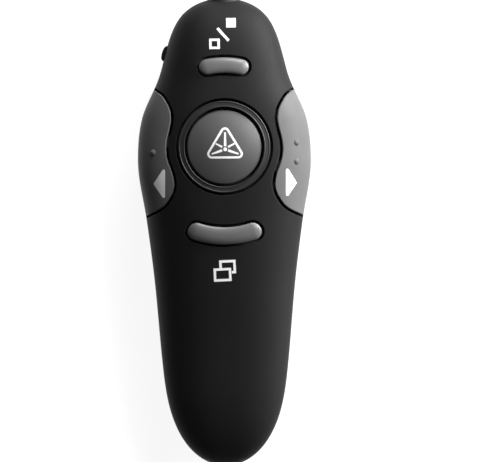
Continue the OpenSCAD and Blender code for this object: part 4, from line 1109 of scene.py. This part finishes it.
# -------- materials
class Nodes:
    """A node tree, with shorthands for adding nodes to it."""

    def __init__(self, tree):
        self.tree = tree
        self.coordinates = self.new("ShaderNodeTexCoord").outputs

    def give(self, node, inputs):
        """Values for a node's sockets, or links where a value is another node's output."""
        for key, value in inputs.items():
            if isinstance(value, bpy.types.NodeSocket):
                self.tree.links.new(value, node.inputs[key])
            else:
                node.inputs[key].default_value = value

    def new(self, kind, inputs=None, **values):
        node = self.tree.nodes.new(kind)
        for key, value in values.items():
            setattr(node, key, value)
        self.give(node, inputs or {})
        return node

    def noise(self, scale, detail=2.0, rough=0.5, stretch=None):
        at = self.coordinates["Object"]
        if stretch:
            at = self.new("ShaderNodeMapping", {"Scale": stretch, "Vector": at}).outputs[0]
        values = {"Scale": scale, "Detail": detail, "Roughness": rough, "Vector": at}
        return self.new("ShaderNodeTexNoise", values).outputs["Fac"]

    def ramp(self, value, *stops):
        node = self.new("ShaderNodeValToRGB", {0: value})
        points = node.color_ramp.elements
        for k, (position, color) in enumerate(stops):
            point = points[k] if k < 2 else points.new(position)
            point.position, point.color = position, (*color, 1)
        return node.outputs[0]

    def spread(self, value, low, high):
        """A noise, which mostly lies between 0.3 and 0.7, spread over low to high."""
        limits = {"From Min": 0.3, "From Max": 0.7, "To Min": low, "To Max": high}
        return self.new("ShaderNodeMapRange", {**limits, "Value": value}).outputs[0]

    def bump(self, height, strength, distance):
        values = {"Strength": strength, "Distance": distance * MM, "Height": height}
        return self.new("ShaderNodeBump", values).outputs[0]

    def math(self, operation, a, b=0.0):
        return self.new("ShaderNodeMath", {0: a, 1: b}, operation=operation).outputs[0]

    def looking(self):
        """1 for the rays that see the picture's white, directly or by a mirror or through a clear piece."""
        seen = self.new("ShaderNodeLightPath").outputs
        return self.math("ADD", self.math("ADD", seen["Is Camera Ray"], seen["Is Glossy Ray"]),
                         seen["Is Transmission Ray"])


def material(name):
    """A new material's nodes, with a principled surface linked to its output."""
    mat = bpy.data.materials.new(name)
    mat.use_nodes = True
    mat.node_tree.nodes.clear()
    n = Nodes(mat.node_tree)
    n.material = mat
    n.surface = n.new("ShaderNodeBsdfPrincipled")
    n.out = n.new("ShaderNodeOutputMaterial", {"Surface": n.surface.outputs[0]})
    return n


def shades(color, share):
    return [tuple(c * k for c in color) for k in (1 - share, 1, 1 + share)]


def plastic(name, color, rough, grain=3500, depth=0.012, share=0.12, spread=0.06, coat=0.0, specular=0.5,
            transmission=0.0):
    """Moulded plastic: slight colour drift, a spark-eroded grain in the bump, and roughness that varies."""
    n = material(name)
    dark, mid, light = shades(color, share)
    fine = n.noise(grain, 2.5, 0.55)
    n.give(n.surface, {
        "Base Color": n.ramp(n.noise(120, 3.0, 0.6), (0.3, dark), (0.5, mid), (0.72, light)),
        "Roughness": n.spread(fine, rough - spread, rough + spread), "Normal": n.bump(fine, 1.0, depth),
        "Specular IOR Level": specular, "Coat Weight": coat, "Coat Roughness": 0.12,
        "Transmission Weight": transmission, "IOR": 1.46})
    return n.material


def brushed(name, color, rough, stretch):
    """Metal with fine drawn or turned lines."""
    n = material(name)
    dark, mid, light = shades(color, 0.1)
    lines = n.noise(1.0, 3.0, 0.6, stretch)
    n.give(n.surface, {
        "Base Color": n.ramp(lines, (0.3, dark), (0.5, mid), (0.7, light)),
        "Roughness": n.spread(lines, rough - 0.07, rough + 0.1), "Normal": n.bump(lines, 1.0, 0.004),
        "Metallic": 1.0})
    return n.material


def board():
    """Solder mask over faint tracks."""
    n = material("board")
    tracks = n.new("ShaderNodeTexVoronoi", {"Scale": 330, "Vector": n.coordinates["Object"]},
                   feature="DISTANCE_TO_EDGE").outputs["Distance"]
    n.give(n.surface, {
        "Base Color": n.ramp(tracks, (0.02, (0.01, 0.07, 0.028)), (0.06, (0.004, 0.026, 0.01))),
        "Roughness": n.spread(n.noise(900), 0.25, 0.4), "Normal": n.bump(tracks, 0.4, 0.02)})
    return n.material


def white_floor():
    """A pale sheet with a glow that the camera and mirror images see, and that lights nothing."""
    n = material("floor_white")
    n.give(n.surface, {"Roughness": n.spread(n.noise(60), 0.76, 0.8), "Base Color": (0.25, 0.25, 0.25, 1),
                       "Specular IOR Level": 0.05})
    glow = n.new("ShaderNodeEmission", {"Strength": n.math("MULTIPLY", n.looking(), FLOOR_GLOW)})
    both = n.new("ShaderNodeAddShader", {0: n.surface.outputs[0], 1: glow.outputs[0]})
    n.give(n.out, {"Surface": both.outputs[0]})
    return n.material


FLOOR_GLOW = 0.92
MATERIALS = {
    "housing": plastic("housing_black", (0.004, 0.004, 0.0042), 0.68, 3200, 0.012, specular=0.25),
    "key_grey": plastic("key_grey", (0.07, 0.07, 0.072), 0.4, 5200, 0.006, 0.06, specular=1.0, coat=0.1),
    "key_side": plastic("key_side", (0.12, 0.12, 0.122), 0.34, 4600, 0.006, 0.06, specular=0.5),
    "wing_dark": plastic("wing_grey", (0.117, 0.117, 0.119), 0.5, 4600, 0.006, 0.06, specular=0.1),
    "trim": plastic("trim_dark", (0.022, 0.022, 0.023), 0.4, 5200, 0.005, 0.08),
    "nose": plastic("nose_dark", (0.03, 0.03, 0.032), 0.3, 4200, 0.006, 0.1),
    "window": plastic("window_red", (0.16, 0.01, 0.015), 0.12, 2500, 0.002, 0.1, 0.04, transmission=0.8),
    "knob": plastic("knob_black", (0.014, 0.014, 0.015), 0.4, 3600, 0.02, 0.1),
    "switch_plastic": plastic("switch_black", (0.02, 0.02, 0.022), 0.45, 2600, 0.01, 0.15),
    "natural_plastic": plastic("natural_plastic", (0.6, 0.57, 0.48), 0.42, 2200, 0.01, 0.05),
    "board": board(),
    "chip": plastic("chip_black", (0.015, 0.015, 0.017), 0.55, 4200, 0.02, 0.2),
    "can": brushed("can_steel", (0.55, 0.55, 0.56), 0.32, (900, 900, 60)),
    "ceramic": plastic("ceramic", (0.36, 0.24, 0.13), 0.5, 4500, 0.01, 0.15),
    "brass": brushed("brass", (0.72, 0.5, 0.19), 0.28, (60, 3500, 60)),
    "lens": plastic("lens_clear", (0.85, 0.9, 0.95), 0.05, 1500, 0.0005, 0.02, 0.02, transmission=1.0),
    "wire": plastic("wire_red", (0.45, 0.02, 0.015), 0.35, 2600, 0.006, 0.12),
    "steel": brushed("zinc_steel", (0.56, 0.56, 0.58), 0.34, (1800, 1800, 200)),
    "contact": brushed("nickel", (0.68, 0.66, 0.62), 0.22, (300, 2400, 300)),
    "cell": plastic("cell_sleeve", (0.11, 0.13, 0.16), 0.25, 1500, 0.004, 0.12, coat=0.3),
    "receiver": plastic("receiver_black", (0.016, 0.016, 0.018), 0.34, 3600, 0.008, 0.1),
    "plug": brushed("plug_steel", (0.6, 0.6, 0.61), 0.26, (2600, 120, 2600)),
    "tongue": plastic("tongue_white", (0.68, 0.68, 0.64), 0.4, 2600, 0.008, 0.05),
    "print": plastic("print_white", (0.85, 0.85, 0.84), 0.5, 5200, 0.004, 0.03),
}
NODE_SLOTS = {
    "key_grey": ["laser_button", "black_screen_button", "full_screen_button"],
    "housing": ["top_shell", "bottom_shell", "battery_cover"],
    "wing_dark": ["previous_key", "next_key"], "trim": ["laser_button_ring"], "nose": ["nose_ring"],
    "window": ["laser_window"], "knob": ["power_switch_knob"],
    "natural_plastic": ["laser_plunger", "black_screen_plunger", "full_screen_plunger",
                        "previous_plunger", "next_plunger"],
    "can": ["power_switch_body", "crystal"], "board": ["circuit_board"],
    "switch_plastic": ["power_switch_slider", "laser_tact_switch", "black_screen_tact_switch",
                       "full_screen_tact_switch", "previous_tact_switch", "next_tact_switch"],
    "chip": ["radio_chip"], "ceramic": ["capacitors"], "brass": ["laser_module"], "lens": ["laser_lens"],
    "wire": ["laser_wires"], "steel": ["board_screws", "case_screws"],
    "cell": ["battery_left", "battery_right"],
    "contact": ["tail_link_contact", "tail_spring", "head_positive_contact", "head_negative_contact",
                "head_spring"],
    "receiver": ["receiver_cap"], "plug": ["usb_plug_shell"], "tongue": ["usb_tongue"],
}


def paint(obj, material_name):
    obj.data.materials.clear()
    obj.data.materials.append(MATERIALS[material_name])


def place(obj, body, slot, *nodes, look=None):
    paint(obj, look or slot)
    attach(obj, body)
    if nodes:
        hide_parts(*nodes)


for slot_name, nodes in NODE_SLOTS.items():
    for node in nodes:
        paint(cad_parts[node], slot_name)

# -------- the pieces
place(top_housing(), "housing", "housing", "top_shell")
place(lower_housing(), "housing", "housing", "bottom_shell")
place(cover(), "battery_cover", "housing", "battery_cover")
place(trim_ring(), "housing", "trim", "laser_button_ring")
place(laser_key(), "laser_button", "key_grey", "laser_button")
for name in BARS:
    place(bar_key(name), name, "key_grey", name, look="key_side")
for way, side in (("next", 1), ("previous", -1)):
    place(wing_key(way + "_cap", side), way + "_key", "wing_dark", way + "_key")
place(switch_knob(), "power_switch_knob", "knob", "power_switch_knob")
for name, x, y, body in (("dot_previous", -18.05, 19.36, "previous_key"),
                         ("dot_next_head", 18.3, 21.75, "next_key"),
                         ("dot_next_tail", 18.3, 16.98, "next_key")):
    place(tactile_dot(name, x, y), body, "wing_dark")
for body, obj in prints():
    place(obj, body, "print")

for inset, kept in (
        (WALL - 0.3, (("inside_upper", "top_shell", "housing", "housing"),
                      ("inside_lower", "bottom_shell", "housing", "housing"),
                      ("inside_lid", "battery_cover", "battery_cover", "housing"),
                      ("inside_knob", "power_switch_knob", "power_switch_knob", "knob"))),
        (WING_WALL - 0.3, (("inside_next", "next_key", "next_key", "wing_dark"),
                           ("inside_previous", "previous_key", "previous_key", "wing_dark")))):
    core = whole_body(inset)
    for name, node, body, slot in kept:
        place(inside_of(name, node, core), body, slot, node)
    bpy.data.objects.remove(core)

# -------- floor, lights and camera
for name in ("Cube", "Light", "Camera"):
    if name in bpy.data.objects:
        bpy.data.objects.remove(bpy.data.objects[name])

FLOOR_R, FLOOR_LOW = 4.2, -0.0001
floor_mesh = bpy.data.meshes.new("floor")
floor_mesh.from_pydata([(FLOOR_R * math.cos(a), FLOOR_R * math.sin(a), FLOOR_LOW) for a in turns(96)], [],
                       [list(range(96))])
floor_mesh.materials.append(white_floor())
linked("floor", floor_mesh)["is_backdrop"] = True

AIM = Vector((0, 0, 0.01))
HORIZON_BAND, HORIZON_GLOW, SKY_GLOW = 0.022, 1.05, 0.02


def lamp(name, zenith, azimuth, size, size_y, power):
    """A lamp a metre from the object, in degrees from straight up and round from the right."""
    z, a = math.radians(zenith), math.radians(azimuth)
    data = bpy.data.lights.new(name, "AREA")
    data.shape, data.size, data.size_y, data.energy = "RECTANGLE", size, size_y, power
    obj = linked(name, data)
    obj.location = (math.sin(z) * math.cos(a), math.sin(z) * math.sin(a), math.cos(z))
    obj.rotation_euler = (AIM - obj.location).to_track_quat("-Z", "Y").to_euler()


def studio_world():
    """A faint grey all round; rays that look along the horizon end in the floor's white."""
    world = bpy.data.worlds.new("studio")
    world.use_nodes = True
    n = Nodes(world.node_tree)
    height = n.new("ShaderNodeSeparateXYZ", {0: n.coordinates["Generated"]}).outputs["Z"]
    level = n.math("LESS_THAN", n.math("ABSOLUTE", height), HORIZON_BAND)
    white = n.math("MULTIPLY", n.math("MULTIPLY", n.looking(), level), HORIZON_GLOW)
    n.give(world.node_tree.nodes["Background"],
           {"Color": (0.9, 0.9, 0.9, 1), "Strength": n.math("ADD", white, SKY_GLOW)})
    bpy.context.scene.world = world


lamp("key_light", 50, 34, 0.5, 0.5, 7.5)
lamp("side_light", 79, 28, 0.7, 0.32, 25.0)
lamp("head_light", 64, 75, 0.4, 0.4, 8.5)
studio_world()

SENSOR, AWAY, FIELD = 36.0, 3.0, 0.12344
camera = linked("camera", bpy.data.cameras.new("camera"))
camera.location = (0.004745, -0.00056, 3.012)
camera.rotation_euler = (0, 0, math.radians(-0.285))
camera.data.sensor_width = SENSOR
camera.data.lens = SENSOR * AWAY / FIELD
camera.data.clip_end = 100
bpy.context.scene.camera = camera
bpy.context.scene.view_settings.view_transform = "Standard"

boxes = [[list(corner) for corner in box] for box in (cad_box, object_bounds())]
